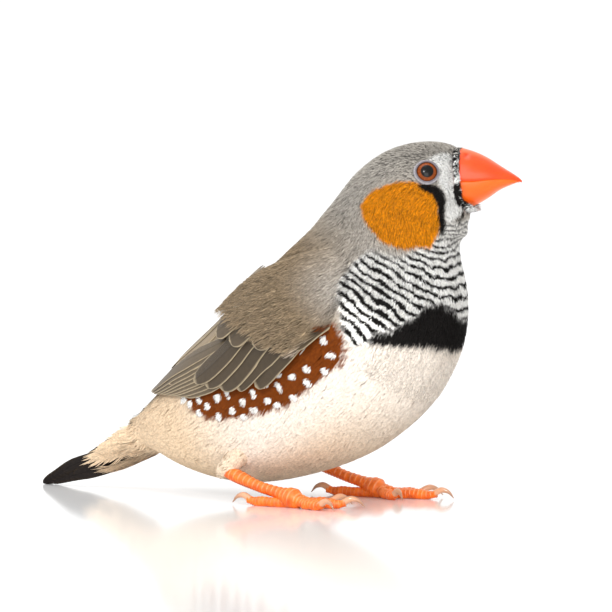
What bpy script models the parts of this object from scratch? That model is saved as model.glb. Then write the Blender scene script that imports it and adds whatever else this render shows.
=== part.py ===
"""A zebra finch standing on the floor, turned a little, its head in profile: a life-size model.

The bird faces +X, its left side is +Y, and the floor is at z = 0. Sizes below are in
millimetres times MM, so every length in the scene is in metres.
"""

import bpy
import bmesh
import numpy as np
from math import cos, pi, radians, sin
from mathutils import Vector

MM = 0.001
GAP = 0.3 * MM
MERGE_DISTANCE = 0.002 * MM
FINE_MERGE_DISTANCE = 0.0001 * MM
CUFF_MERGE_DISTANCE = 0.01 * MM
SMOOTH_BELOW = radians(40)

# The body: sections along its middle line, from the root of the tail to the root of the bill.
# Middle x, middle z, lean of the section in degrees, half height above, half height below,
# half width, in millimetres.
BODY_SECTIONS = (
    (-39.0, 9.6, 28, 3.4, 3.4, 4.2),
    (-32.2, 10.6, 20, 6.6, 6.8, 7.8),
    (-23.4, 12.8, 23, 10.6, 11.2, 11.0),
    (-13.0, 16.8, 29, 13.8, 14.2, 13.2),
    (-3.2, 22.9, 37, 15.4, 16.8, 14.4),
    (4.8, 29.3, 46, 15.2, 17.0, 14.2),
    (9.0, 35.4, 55, 13.8, 15.2, 13.0),
    (10.6, 40.2, 61, 12.2, 12.8, 11.4),
    (11.2, 44.0, 62, 10.3, 10.7, 10.0),
    (12.4, 47.2, 54, 9.0, 9.6, 8.9),
    (14.6, 49.6, 41, 7.9, 9.2, 8.3),
    (17.2, 51.0, 26, 6.7, 7.8, 7.5),
    (19.6, 51.5, 12, 5.6, 6.3, 6.2),
    (21.2, 51.5, 4, 4.7, 4.8, 4.5),
)
SQUARENESS = 2.3
HEAD_TURN = radians(30)
TURN_AXIS_X = 9.0 * MM
TURN_FROM = 0.46
TURN_TO = 0.80
NECK_FROM = 0.745
NECK_TO = 0.852
NECK_CLEARANCE = GAP * 1.15
BODY_SIDES = 38
TORSO_RINGS = 20
NECK_RINGS = 6
HEAD_SIDES = 34
HEAD_RINGS = 12

# The eyes, as shares of the body's middle line and degrees round it from the back.
EYE_SHARE = 0.954
EYE_ANGLE = 77.6
EYE_RADIUS = 2.2 * MM
EYE_DEPTH = 1.5 * MM
LID_RING_RADIUS = 1.88 * MM
LID_THICKNESS = 0.38 * MM
LID_RAISE = 0.1 * MM

# The bill: distance ahead of the neck's axis line, top edge, line of the mouth, bottom edge
# and half width, in millimetres.
BILL_SECTIONS = (
    (21.7, 56.2, 51.2, 46.7, 3.7),
    (23.6, 55.6, 51.2, 47.4, 3.45),
    (25.5, 54.7, 51.4, 48.5, 2.95),
    (27.4, 53.5, 51.5, 49.8, 2.2),
    (29.2, 52.4, 51.4, 50.8, 1.25),
)
UPPER_TIP = (30.7, 51.35, 51.0, 0.2)
LOWER_TIP = (29.9, 50.75, 51.0, 0.25)
BILL_SIDES = 13
BILL_FULLNESS = 0.8
LOWER_BILL_NARROWING = 0.96
NOSTRIL_PLACE = (22.5, 1.7, 55.15)
NOSTRIL_RADIUS = 0.55 * MM

# The tail: middle line, roll about it in degrees, half width and half thickness of its core.
TAIL_SECTIONS = (
    (-39.0, 0.0, 9.5, 0, 4.2, 3.4),
    (-43.0, -0.4, 7.7, 22, 4.0, 2.8),
    (-48.0, -1.3, 5.0, 45, 3.0, 1.6),
    (-53.5, -2.6, 3.0, 58, 1.7, 0.8),
    (-57.0, -3.6, 1.3, 62, 0.9, 0.4),
    (-60.0, -4.5, -0.1, 64, 0.4, 0.3),
)
TAIL_CLEARANCE = GAP * 1.1
TAIL_CORE_RINGS = 6
TAIL_CORE_FROM = 0.17
TAIL_CORE_TO = 0.8
TAIL_SIDES = 20

# The tail feathers, from the middle pair outwards: how far each stands aside and how high it
# lies at its root and tip, and what each next pair adds. The left side ends a little earlier.
TAIL_FEATHER_PAIRS = 6
TAIL_FEATHER_HALF_WIDTH = 1.25 * MM
TAIL_FEATHER_FROM = 0.25
TAIL_FEATHER_TO = 0.99
TAIL_FEATHER_SHORTER = 0.05
TAIL_LEFT_SHORTER = 0.07
TAIL_ROOT_ASIDE = (0.35, 0.30)
TAIL_TIP_ASIDE = (0.10, 0.14)
TAIL_RISE = (0.90, -0.27)
TAIL_TIP_RISE_SHARE = 0.5
TAIL_FEATHER_CAMBER = 0.25

# The tail's coverts: offset aside, rise at root and tip, share of the tail at the tip.
UPPER_COVERTS = (
    (0.7, 2.4, 1.9, 0.52),
    (1.8, 1.9, 1.55, 0.45),
    (2.9, 1.4, 1.2, 0.38),
)
UPPER_COVERT_FROM = 0.08
UPPER_COVERT_HALF_WIDTH = 1.3 * MM
UNDER_COVERTS = (
    (-1.5, -2.2, -0.9, 0.60),
    (1.5, -2.2, -0.9, 0.68),
    (0.0, -2.2, -0.9, 0.76),
)
UNDER_COVERT_FROM = 0.12
UNDER_COVERT_HALF_WIDTH = 1.9 * MM
UNDER_COVERT_THICKNESS = 0.8 * MM

# The folded wing on the body's side: share of the middle line, upper and lower edge in degrees.
WING_EDGES = (
    (0.735, 62, 72),
    (0.700, 46, 82),
    (0.640, 32, 90),
    (0.560, 20, 95),
    (0.470, 12, 92),
    (0.380, 8, 86),
    (0.290, 7, 78),
    (0.220, 9, 66),
    (0.165, 18, 52),
)
WING_CORE_THICKNESS = 0.9 * MM
WING_EDGE_THICKNESS = 0.2 * MM
WING_CLEARANCE = GAP * 1.2
WING_RINGS = 14
WING_POINTS_ACROSS = 9
WING_END_SHARE = 0.35
VANE_THICKNESS = 0.6 * MM
VANE_TILT = 0.12

# The wing's feathers in tiers. Each row is: root share and degrees, tip share and degrees,
# half width and how far root and tip stand off the body, in millimetres.
PRIMARIES = (
    (0.42, 66, 0.082, 36, 1.9, 1.1, 1.3),
    (0.42, 71, 0.105, 47, 1.8, 1.0, 1.1),
    (0.42, 76, 0.140, 56, 1.7, 0.95, 0.95),
    (0.42, 81, 0.180, 65, 1.6, 0.9, 0.85),
    (0.42, 86, 0.230, 74, 1.5, 0.9, 0.8),
)
SECONDARIES = (
    (0.55, 73, 0.290, 74, 1.9, 1.3, 1.45),
    (0.57, 79, 0.335, 83, 1.9, 1.25, 1.35),
    (0.60, 85, 0.390, 90, 2.0, 1.2, 1.3),
    (0.64, 89, 0.450, 96, 2.0, 1.15, 1.3),
)
TERTIALS = (
    (0.48, 22, 0.120, 15, 2.2, 1.4, 1.7),
    (0.50, 40, 0.180, 36, 2.3, 1.4, 1.65),
    (0.52, 56, 0.255, 57, 2.2, 1.4, 1.6),
)
GREATER_COVERTS = (
    (0.54, 60, 0.400, 58, 1.7, 1.6, 1.9),
    (0.57, 67, 0.430, 68, 1.7, 1.6, 1.9),
    (0.60, 74, 0.470, 77, 1.7, 1.5, 1.85),
    (0.64, 81, 0.515, 85, 1.7, 1.4, 1.8),
    (0.68, 85, 0.565, 92, 1.6, 1.2, 1.7),
)
MEDIAN_COVERTS = (
    (0.60, 55, 0.480, 54, 1.7, 1.7, 2.15),
    (0.63, 64, 0.510, 65, 1.7, 1.7, 2.15),
    (0.67, 72, 0.555, 75, 1.7, 1.5, 2.05),
    (0.70, 78, 0.605, 84, 1.6, 1.2, 1.9),
)
SCAPULARS = (
    (0.50, 16, 0.330, 12, 2.0, 1.5, 2.0),
    (0.56, 28, 0.380, 28, 2.1, 1.6, 2.15),
    (0.60, 42, 0.430, 45, 2.0, 1.7, 2.25),
    (0.65, 52, 0.520, 55, 1.9, 1.5, 2.3),
)

# The legs: heel, foot and the four digits of each foot, in millimetres and degrees.
HEELS = {"right": (-15.2, -10.2, 4.9), "left": (-16.0, 11.2, 5.6)}
FEET = {"right": (0.3, -11.2, 1.3), "left": (-2.0, 12.2, 1.3)}
DIGIT_AZIMUTHS = {"right": (186, 62, 30, -12), "left": (190, -28, 15, 44)}
DIGIT_REACHES = {"right": (12.0, 9.6, 11.0, 9.8), "left": (12.6, 9.6, 13.0, 10.2)}
STUB_REACH = 2.9 * MM
HIND_STUB_EXTRA = 2.2 * MM
STUB_RADII = (1.1, 1.05, 0.98, 0.9)
TOE_RADII = (0.78, 0.73, 0.82, 0.71, 0.79, 0.68, 0.56)
CLAW_RADII = (0.5, 0.46, 0.38, 0.29, 0.19, 0.07)
CLAW_REACH = 3.06 * MM

# Each digit's line: shares of the toe's reach, and heights of a front and of the hind toe.
TOE_SHARES = (0.1, 0.42, 0.62, 0.82, 1.0)
FRONT_TOE_HEIGHTS = (1.1, 0.7, 0.8, 0.62, 0.9)
HIND_TOE_HEIGHTS = (0.85, 0.58, 0.66, 0.6, 0.9)
CLAW_SHARES = (0.35, 0.7, 1.0)
CLAW_HEIGHTS = (1.55, 1.25, 0.3)

# The shank from heel to foot: share of the way, drop below the straight line, radius.
SHANK_SECTIONS = (
    (0.0, 0.0, 0.75),
    (0.1, 0.0, 0.95),
    (0.5, 0.25, 0.8),
    (0.8, 0.0, 0.95),
    (1.0, 0.0, 1.45),
    (1.06, 0.0, 0.9),
)

# The feathered cuff at the heel: offset ahead, inward and up from the heel, and radius.
CUFF_SECTIONS = (
    (3.2, 1.2, 3.8, 2.9),
    (1.6, 0.6, 1.9, 2.5),
    (0.4, 0.0, 0.6, 2.0),
    (-0.6, 0.0, -0.3, 1.5),
    (-1.2, 0.0, -0.8, 0.8),
)
CUFF_SIDES = 12

# The middle of the whole bird's plan, which becomes the origin.
PLAN_CENTRE = (-16.12, 0.92)

# The outline of a feather: share of its length, of its half width and of its thickness.
VANE_SECTIONS = (
    (0.0, 0.55, 1.0),
    (0.3, 0.85, 1.0),
    (0.6, 1.0, 1.0),
    (0.85, 0.85, 0.85),
    (1.0, 0.3, 0.5),
)

COLLECTION_NAME = "zebra_finch"


def smooth_step(value):
    """A step from 0 to 1 with level ends."""
    value = np.clip(value, 0.0, 1.0)
    return value * value * (3.0 - 2.0 * value)


def spline(knots, rows, at):
    """Rows of values read at new knots from a smooth curve through all of them."""
    knots = np.asarray(knots, float)
    rows = np.asarray(rows, float)
    at = np.clip(np.asarray(at, float), knots[0], knots[-1])
    index = np.clip(np.searchsorted(knots, at, side="right") - 1, 0, len(knots) - 2)
    slopes = np.gradient(rows, knots, axis=0)
    step = (knots[index + 1] - knots[index])[..., None]
    share = (at - knots[index])[..., None] / step
    square = share ** 2
    cube = share ** 3
    start = (2 * cube - 3 * square + 1) * rows[index]
    start_slope = (cube - 2 * square + share) * step * slopes[index]
    end = (3 * square - 2 * cube) * rows[index + 1]
    end_slope = (cube - square) * step * slopes[index + 1]
    return start + start_slope + end + end_slope


BODY_ROWS = np.array(BODY_SECTIONS, float) * np.array([MM, MM, pi / 180, MM, MM, MM])
BODY_STEPS = np.hypot(np.diff(BODY_ROWS[:, 0]), np.diff(BODY_ROWS[:, 1]))
BODY_LENGTH = BODY_STEPS.sum()
BODY_KNOTS = np.concatenate([[0.0], np.cumsum(BODY_STEPS)]) / BODY_LENGTH


def turned(points, share):
    """Turns points about the neck's upright axis, as far as their share of the body says."""
    angle = HEAD_TURN * smooth_step((share - TURN_FROM) / (TURN_TO - TURN_FROM))
    ahead = points[..., 0] - TURN_AXIS_X
    aside = points[..., 1]
    x = TURN_AXIS_X + ahead * np.cos(angle) - aside * np.sin(angle)
    y = ahead * np.sin(angle) + aside * np.cos(angle)
    return np.stack([x, y, points[..., 2]], axis=-1)


def rounded(value):
    """The cosine or sine of an angle, squared off towards a full section."""
    return np.sign(value) * np.abs(value) ** (2.0 / SQUARENESS)


def body_point(share, angle, out=0.0, shift=0.0):
    """Points on the body: 0 degrees is the back, 90 the left side, 180 the belly."""
    share, angle = np.broadcast_arrays(np.asarray(share, float), np.radians(angle))
    row = spline(BODY_KNOTS, BODY_ROWS, share)
    lean = row[..., 2]
    level = np.zeros_like(lean)
    upward = np.stack([-np.sin(lean), level, np.cos(lean)], axis=-1)
    forward = np.stack([np.cos(lean), level, np.sin(lean)], axis=-1)
    height = np.where(np.cos(angle) > 0, row[..., 3], row[..., 4]) + out
    width = row[..., 5] + out
    points = np.stack([row[..., 0], level, row[..., 1]], axis=-1)
    points = points + upward * (height * rounded(np.cos(angle)))[..., None] + forward * shift
    points[..., 1] += width * rounded(np.sin(angle))
    return turned(points, share)


def body_normal(share, angle):
    """The direction that points straight out of the body there."""
    little = 0.002
    along = body_point(share + little, angle) - body_point(share - little, angle)
    around = body_point(share, angle + 0.5) - body_point(share, angle - 0.5)
    normal = np.cross(around, along)
    return normal / np.linalg.norm(normal, axis=-1, keepdims=True)


def outward_normal(share, angle):
    """The body's normal there, turned to point out of it."""
    normal = body_normal(share, np.array(float(angle)))
    middle = (body_point(share, 0.0) + body_point(share, 180.0)) / 2
    return normal * np.sign(np.dot(normal, body_point(share, angle) - middle))


def head_point(ahead, aside, height):
    """A point given on the head as if it looked straight ahead, turned with the head."""
    return turned(np.array([ahead, aside, height], float), np.array(1.0))


def make_material(name, colour, roughness):
    """A plain finish in the part's own colour."""
    material = bpy.data.materials.new(name)
    material.use_nodes = True
    shader = material.node_tree.nodes["Principled BSDF"]
    shader.inputs["Base Color"].default_value = (*colour, 1.0)
    shader.inputs["Roughness"].default_value = roughness
    shader.inputs["Metallic"].default_value = 0.0
    return material


def new_object(name, collection):
    """An empty mesh object in a collection."""
    piece = bpy.data.objects.new(name, bpy.data.meshes.new(name))
    collection.objects.link(piece)
    return piece


def loft(name, collection, rings):
    """A closed solid through rings of points of equal count, capped at both ends."""
    piece = new_object(name, collection)
    shape = bmesh.new()
    loops = [[shape.verts.new(point) for point in ring] for ring in rings]
    count = len(loops[0])
    for near, far in zip(loops, loops[1:]):
        for side in range(count):
            after = (side + 1) % count
            shape.faces.new((near[side], near[after], far[after]))
            shape.faces.new((near[side], far[after], far[side]))
    shape.faces.new(tuple(reversed(loops[0])))
    shape.faces.new(loops[-1])
    bmesh.ops.recalc_face_normals(shape, faces=shape.faces)
    shape.to_mesh(piece.data)
    shape.free()
    return piece


def body_loft(name, collection, start, end, rings, sides, out=0.0):
    """A length of the body as a closed solid."""
    angles = np.arange(sides) * 360.0 / sides
    shares = np.linspace(start, end, rings)
    return loft(name, collection, [body_point(np.full(sides, share), angles, out) for share in shares])


def limb(name, collection, points, radii, sides=10, flat=True):
    """A tapering round solid along a line of points, pressed flat where it meets the floor."""
    points = [Vector(point) for point in points]
    rings = []
    across = None
    for index, point in enumerate(points):
        before = points[max(index - 1, 0)]
        after = points[min(index + 1, len(points) - 1)]
        direction = (after - before).normalized()
        if across is None:
            across = direction.cross(Vector((0.0, 0.0, 1.0))).normalized()
        across = (across - direction * across.dot(direction)).normalized()
        above = across.cross(direction)
        ring = []
        for side in range(sides):
            angle = 2 * pi * (side + 0.5) / sides
            spot = point + radii[index] * (across * cos(angle) + above * sin(angle))
            if flat:
                spot.z = max(spot.z, 0.0)
            ring.append(spot)
        rings.append(ring)
    return loft(name, collection, rings)


def vane(name, collection, line, normals, half_width, thickness):
    """A flat feather: thick along its shaft, thin at both edges, rounded at its tip.

    Both faces are split into triangles alike, so that they never cross.
    """
    piece = new_object(name, collection)
    shape = bmesh.new()
    rings = []
    for index, (place, width_share, thickness_share) in enumerate(VANE_SECTIONS):
        point = line[index]
        direction = line[min(index + 1, len(line) - 1)] - line[max(index - 1, 0)]
        across = np.cross(direction, normals[index])
        across = across / np.linalg.norm(across) * half_width * width_share
        raise_by = normals[index] * thickness * thickness_share / 2
        corners = (point - across, point + raise_by, point + across, point - raise_by)
        rings.append([shape.verts.new((x, y, max(z, 0.0))) for x, y, z in corners])
    for near, far in zip(rings, rings[1:]):
        for edge in (0, 2):
            for crown in (1, 3):
                shape.faces.new((near[edge], near[crown], far[crown]))
                shape.faces.new((near[edge], far[crown], far[edge]))
    shape.faces.new(rings[0])
    shape.faces.new(rings[-1])
    bmesh.ops.recalc_face_normals(shape, faces=shape.faces)
    shape.to_mesh(piece.data)
    shape.free()
    return piece


def boolean(piece, operation, others, solver="EXACT", merge=MERGE_DISTANCE):
    """Joins a collection of closed pieces to a solid, or cuts them from it."""
    modifier = piece.modifiers.new("shape", "BOOLEAN")
    modifier.operation = operation
    modifier.solver = solver
    modifier.operand_type = "COLLECTION"
    modifier.collection = others
    bpy.context.view_layer.update()
    result = bpy.data.meshes.new_from_object(piece.evaluated_get(bpy.context.evaluated_depsgraph_get()))
    piece.modifiers.clear()
    old = piece.data
    piece.data = result
    bpy.data.meshes.remove(old)
    for other in list(others.objects):
        bpy.data.objects.remove(other, do_unlink=True)
    keep_largest(piece, merge)


def keep_largest(piece, merge):
    """Leaves only the largest closed surface of a solid, its nearest corners merged."""
    shape = bmesh.new()
    shape.from_mesh(piece.data)
    bmesh.ops.remove_doubles(shape, verts=shape.verts, dist=merge)
    bmesh.ops.dissolve_degenerate(shape, edges=shape.edges, dist=merge)
    bmesh.ops.triangulate(shape, faces=shape.faces)
    shape.faces.ensure_lookup_table()
    unseen = set(shape.faces)
    groups = []
    while unseen:
        front = [unseen.pop()]
        group = list(front)
        while front:
            face = front.pop()
            for edge in face.edges:
                for neighbour in edge.link_faces:
                    if neighbour in unseen:
                        unseen.remove(neighbour)
                        front.append(neighbour)
                        group.append(neighbour)
        groups.append(group)
    groups.sort(key=spread, reverse=True)
    for group in groups[1:]:
        bmesh.ops.delete(shape, geom=group, context="FACES")
    loose = [vertex for vertex in shape.verts if not vertex.link_faces]
    bmesh.ops.delete(shape, geom=loose, context="VERTS")
    bmesh.ops.recalc_face_normals(shape, faces=shape.faces)
    shape.to_mesh(piece.data)
    shape.free()


def spread(faces):
    """The volume inside a group of faces."""
    total = 0.0
    for face in faces:
        first, second, third = (vertex.co for vertex in face.verts)
        total += first.dot(second.cross(third)) / 6.0
    return abs(total)


def finish(piece, material):
    """Gives a solid its finish and smooth shading."""
    piece.data.materials.clear()
    piece.data.materials.append(material)
    piece.data.shade_smooth()
    piece.data.set_sharp_from_angle(angle=SMOOTH_BELOW)


def ball(name, collection, centre, radius, segments=16, rings=10):
    """A round solid placed at a point."""
    bpy.ops.mesh.primitive_uv_sphere_add(segments=segments, ring_count=rings, radius=radius,
                                         location=centre)
    piece = bpy.context.object
    piece.name = name
    move_to(piece, collection)
    return piece


def move_to(piece, collection):
    """Puts an object in one collection only."""
    for other in list(piece.users_collection):
        other.objects.unlink(piece)
    collection.objects.link(piece)


def eye_frame(side):
    """Where an eye's centre is and which way it looks."""
    angle = EYE_ANGLE * side
    surface = Vector(body_point(EYE_SHARE, angle))
    outward = Vector(outward_normal(EYE_SHARE, angle))
    return surface - outward * EYE_DEPTH, outward, surface


def make_head(parts, cutters, materials):
    """The head, with a raised ring of lids and a socket for each eye."""
    head = body_loft("head", parts, NECK_TO, 1.0, HEAD_RINGS, HEAD_SIDES)
    lids = []
    for side in (-1, 1):
        centre, outward, surface = eye_frame(side)
        turn = Vector((0.0, 0.0, 1.0)).rotation_difference(outward)
        bpy.ops.mesh.primitive_torus_add(location=surface + outward * LID_RAISE, rotation=turn.to_euler(),
                                         major_radius=LID_RING_RADIUS, minor_radius=LID_THICKNESS,
                                         major_segments=18, minor_segments=6)
        ring = bpy.context.object
        move_to(ring, cutters)
        lids.append(ring)
    boolean(head, "UNION", cutters)
    for side in (-1, 1):
        ball("socket", cutters, eye_frame(side)[0], EYE_RADIUS + GAP)
    boolean(head, "DIFFERENCE", cutters)
    finish(head, materials["head"])


def make_eyes(parts, materials):
    """A ball in each socket."""
    for side, word in ((-1, "right"), (1, "left")):
        eye = ball("eye_" + word, parts, eye_frame(side)[0], EYE_RADIUS)
        finish(eye, materials["eye"])


def half_ring(ahead, far_edge, mouth_edge, half):
    """A half round section of the bill that is flat along the mouth, in millimetres."""
    ring = []
    for step in range(BILL_SIDES):
        angle = -pi / 2 + pi * step / (BILL_SIDES - 1)
        height = mouth_edge + (far_edge - mouth_edge) * cos(angle) ** BILL_FULLNESS
        ring.append(head_point(ahead * MM, half * sin(angle) * MM, height * MM))
    return ring


def make_bill(parts, cutters, materials):
    """The two halves of the bill, apart along the line of the mouth."""
    upper = [half_ring(ahead, top, mouth, half) for ahead, top, mouth, chin, half in BILL_SECTIONS]
    upper.append(half_ring(*UPPER_TIP))
    piece = loft("bill_upper", parts, upper)
    ahead, aside, height = NOSTRIL_PLACE
    for side in (-1, 1):
        spot = head_point(ahead * MM, side * aside * MM, height * MM)
        ball("nostril", cutters, spot, NOSTRIL_RADIUS, 10, 6)
    boolean(piece, "DIFFERENCE", cutters)
    finish(piece, materials["bill_upper"])
    lower = [half_ring(ahead, chin, mouth - GAP / MM, half * LOWER_BILL_NARROWING)
             for ahead, top, mouth, chin, half in BILL_SECTIONS]
    lower.append(half_ring(*LOWER_TIP))
    finish(loft("bill_lower", parts, lower), materials["bill_lower"])


def make_torso(parts, materials):
    """The trunk, from the tail's root to the neck."""
    torso = body_loft("torso", parts, 0.0, NECK_FROM, TORSO_RINGS, BODY_SIDES)
    finish(torso, materials["torso"])


def make_neck(parts, materials):
    """The neck, parted from head and trunk by thin cuts."""
    cut = NECK_CLEARANCE / BODY_LENGTH
    neck = body_loft("neck", parts, NECK_FROM + cut, NECK_TO - cut, NECK_RINGS, BODY_SIDES)
    finish(neck, materials["neck"])


TAIL_ROWS = np.array(TAIL_SECTIONS, float) * np.array([MM, MM, MM, pi / 180, MM, MM])


def tail_at(place):
    """Middle, left and upper direction, half width and half thickness at a share of the tail."""
    knots = np.linspace(0.0, 1.0, len(TAIL_ROWS))
    row = spline(knots, TAIL_ROWS, np.array(float(place)))
    ahead = spline(knots, TAIL_ROWS, np.array(min(place + 0.05, 1.0)))
    behind = spline(knots, TAIL_ROWS, np.array(max(place - 0.05, 0.0)))
    direction = Vector(ahead[:3] - behind[:3]).normalized()
    left = Vector((0.0, 0.0, 1.0)).cross(-direction).normalized()
    upper = (-direction).cross(left)
    roll = row[3]
    across = left * cos(roll) - upper * sin(roll)
    dorsal = upper * cos(roll) + left * sin(roll)
    return Vector(row[:3]), across, dorsal, row[4], row[5]


def tail_vane(collection, start, end, aside, rise, half_width, thickness):
    """One tail feather: aside and rise are its offsets at root and tip, in millimetres."""
    line = []
    normals = []
    for place, width_share, thickness_share in VANE_SECTIONS:
        middle, across, dorsal = tail_at(start + (end - start) * place)[:3]
        out = (aside[0] + (aside[1] - aside[0]) * place) * MM
        up = (rise[0] + (rise[1] - rise[0]) * place) * MM
        line.append(np.array(middle + across * out + dorsal * up))
        camber = across * (TAIL_FEATHER_CAMBER * np.sign(out))
        normals.append(np.array((dorsal + camber).normalized()))
    vane("tail_vane", collection, line, normals, half_width, thickness)


def tail_feathers(collection, side):
    """The six feathers and three upper coverts of one side of the tail."""
    for number in range(TAIL_FEATHER_PAIRS):
        root_aside = (TAIL_ROOT_ASIDE[0] + TAIL_ROOT_ASIDE[1] * number) * side
        tip_aside = (TAIL_TIP_ASIDE[0] + TAIL_TIP_ASIDE[1] * number) * side
        rise = TAIL_RISE[0] + TAIL_RISE[1] * number
        end = TAIL_FEATHER_TO - TAIL_FEATHER_SHORTER * number
        if side > 0:
            end -= TAIL_LEFT_SHORTER
        tail_vane(collection, TAIL_FEATHER_FROM, end, (root_aside, tip_aside),
                  (rise, rise * TAIL_TIP_RISE_SHARE), TAIL_FEATHER_HALF_WIDTH, VANE_THICKNESS)
    for aside, root_rise, tip_rise, end in UPPER_COVERTS:
        tail_vane(collection, UPPER_COVERT_FROM, end, (aside * side, aside * side * 0.9),
                  (root_rise, tip_rise), UPPER_COVERT_HALF_WIDTH, VANE_THICKNESS)


def make_tail(parts, cutters, materials):
    """The tail, from the body's own last section, rolled so its underside shows on the right."""
    angles = np.arange(TAIL_SIDES) * 360.0 / TAIL_SIDES
    rings = [body_point(np.zeros(TAIL_SIDES), angles, 0.0, -TAIL_CLEARANCE)]
    for place in np.linspace(TAIL_CORE_FROM, TAIL_CORE_TO, TAIL_CORE_RINGS):
        middle, across, dorsal, width, depth = tail_at(place)
        aside = rounded(np.sin(np.radians(angles))) * width
        above = rounded(np.cos(np.radians(angles))) * depth
        rings.append([middle + across * out + dorsal * up for out, up in zip(aside, above)])
    tail = loft("tail", parts, rings)
    for side in (-1, 1):
        tail_feathers(cutters, side)
    for aside, root_rise, tip_rise, end in UNDER_COVERTS:
        tail_vane(cutters, UNDER_COVERT_FROM, end, (aside, aside * 0.5), (root_rise, tip_rise),
                  UNDER_COVERT_HALF_WIDTH, UNDER_COVERT_THICKNESS)
    boolean(tail, "UNION", cutters, merge=FINE_MERGE_DISTANCE)
    finish(tail, materials["tail"])


def wing_edge(at):
    """Share of the body's middle line, upper angle and lower angle at a share of the wing."""
    rows = np.array(WING_EDGES, float)
    return spline(np.linspace(0.0, 1.0, len(rows)), rows, np.array(float(at)))


def wing_vane(collection, side, row):
    """One feather of the folded wing, laid along the body, its lower edge raised a little."""
    root_share, root_angle, tip_share, tip_angle, half_width, root_out, tip_out = row
    line = []
    normals = []
    for place, width_share, thickness_share in VANE_SECTIONS:
        share = root_share + (tip_share - root_share) * place
        angle = side * (root_angle + (tip_angle - root_angle) * place)
        out = (root_out + (tip_out - root_out) * place) * MM
        point = body_point(share, angle, out)
        below = body_point(share, angle + side * 4.0, out) - point
        tilted = outward_normal(share, angle) - below / np.linalg.norm(below) * VANE_TILT
        line.append(point)
        normals.append(tilted / np.linalg.norm(tilted))
    vane("wing_vane", collection, line, normals, half_width * MM, VANE_THICKNESS)


def make_wing(parts, cutters, side, word, materials):
    """A folded wing that lies on the body's side: a thin core and its feathers in tiers."""
    rings = []
    place = np.linspace(0.0, 1.0, WING_POINTS_ACROSS)
    crown = np.sqrt(np.clip(1.0 - (2.0 * place - 1.0) ** 4, 0.0, 1.0))
    for at in np.linspace(0.0, 1.0, WING_RINGS):
        share, top, low = wing_edge(at)
        angles = side * (top + (low - top) * place)
        shares = np.full(WING_POINTS_ACROSS, share)
        ends = min(1.0, WING_END_SHARE + 5.0 * at, WING_END_SHARE + 6.0 * (1.0 - at))
        thickness = WING_EDGE_THICKNESS + WING_CORE_THICKNESS * crown * ends
        outer = body_point(shares, angles, WING_CLEARANCE + thickness)
        inner = body_point(shares, angles, WING_CLEARANCE)
        rings.append(np.concatenate([outer, inner[::-1]]))
    wing = loft("wing_" + word, parts, rings)
    for tier in (PRIMARIES, SECONDARIES, TERTIALS, GREATER_COVERTS, MEDIAN_COVERTS, SCAPULARS):
        for row in tier:
            wing_vane(cutters, side, row)
    boolean(wing, "UNION", cutters)
    finish(wing, materials["wing"])


def digit_line(foot, azimuth, reach, hind):
    """The line of one digit, from inside the foot to the tip of its claw."""
    ahead = Vector((cos(radians(azimuth)), sin(radians(azimuth)), 0.0))
    base = Vector((foot[0], foot[1], 0.0)) * MM
    toe_reach = reach * MM - CLAW_REACH
    heights = HIND_TOE_HEIGHTS if hind else FRONT_TOE_HEIGHTS
    line = []
    for share, height in zip(TOE_SHARES, heights):
        line.append(base + ahead * (toe_reach * share) + Vector((0.0, 0.0, height * MM)))
    for share, height in zip(CLAW_SHARES, CLAW_HEIGHTS):
        line.append(base + ahead * (toe_reach + CLAW_REACH * share) + Vector((0.0, 0.0, height * MM)))
    return np.array([tuple(point) for point in line])


def make_digit(parts, cutters, word, number, materials):
    """One toe and its claw, and the stub of the foot that the toe grows from."""
    hind = number == 0
    line = digit_line(FEET[word], DIGIT_AZIMUTHS[word][number], DIGIT_REACHES[word][number], hind)
    knots = np.concatenate([[0.0], np.cumsum(np.linalg.norm(np.diff(line, axis=0), axis=1))])
    stub_end = STUB_REACH + (HIND_STUB_EXTRA if hind else 0.0)
    toe_end = knots[len(TOE_SHARES) - 1]
    stub = spline(knots, line, np.linspace(0.0, stub_end, len(STUB_RADII)))
    limb("stub", cutters, stub, [radius * MM for radius in STUB_RADII])
    toe = spline(knots, line, np.linspace(stub_end + GAP, toe_end, len(TOE_RADII)))
    piece = limb("toe_%s_%d" % (word, number + 1), parts, toe, [radius * MM for radius in TOE_RADII])
    finish(piece, materials["toe"])
    claw = spline(knots, line, np.linspace(toe_end + GAP, knots[-1], len(CLAW_RADII)))
    piece = limb("claw_%s_%d" % (word, number + 1), parts, claw, [radius * MM for radius in CLAW_RADII], 6)
    finish(piece, materials["claw"])


def make_leg(parts, cutters, word, materials):
    """Shank and foot, four toes with their claws, and the feathered cuff of the heel."""
    heel = Vector(HEELS[word]) * MM
    foot = Vector(FEET[word]) * MM
    line = [heel.lerp(foot, share) - Vector((0.0, 0.0, drop * MM)) for share, drop, radius in SHANK_SECTIONS]
    radii = [radius * MM for share, drop, radius in SHANK_SECTIONS]
    shank = limb("shank_" + word, parts, line, radii, 12)
    for number in range(4):
        make_digit(parts, cutters, word, number, materials)
    boolean(shank, "UNION", cutters, "MANIFOLD")
    finish(shank, materials["shank"])
    make_cuff(parts, cutters, word, line, radii, materials)


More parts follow.
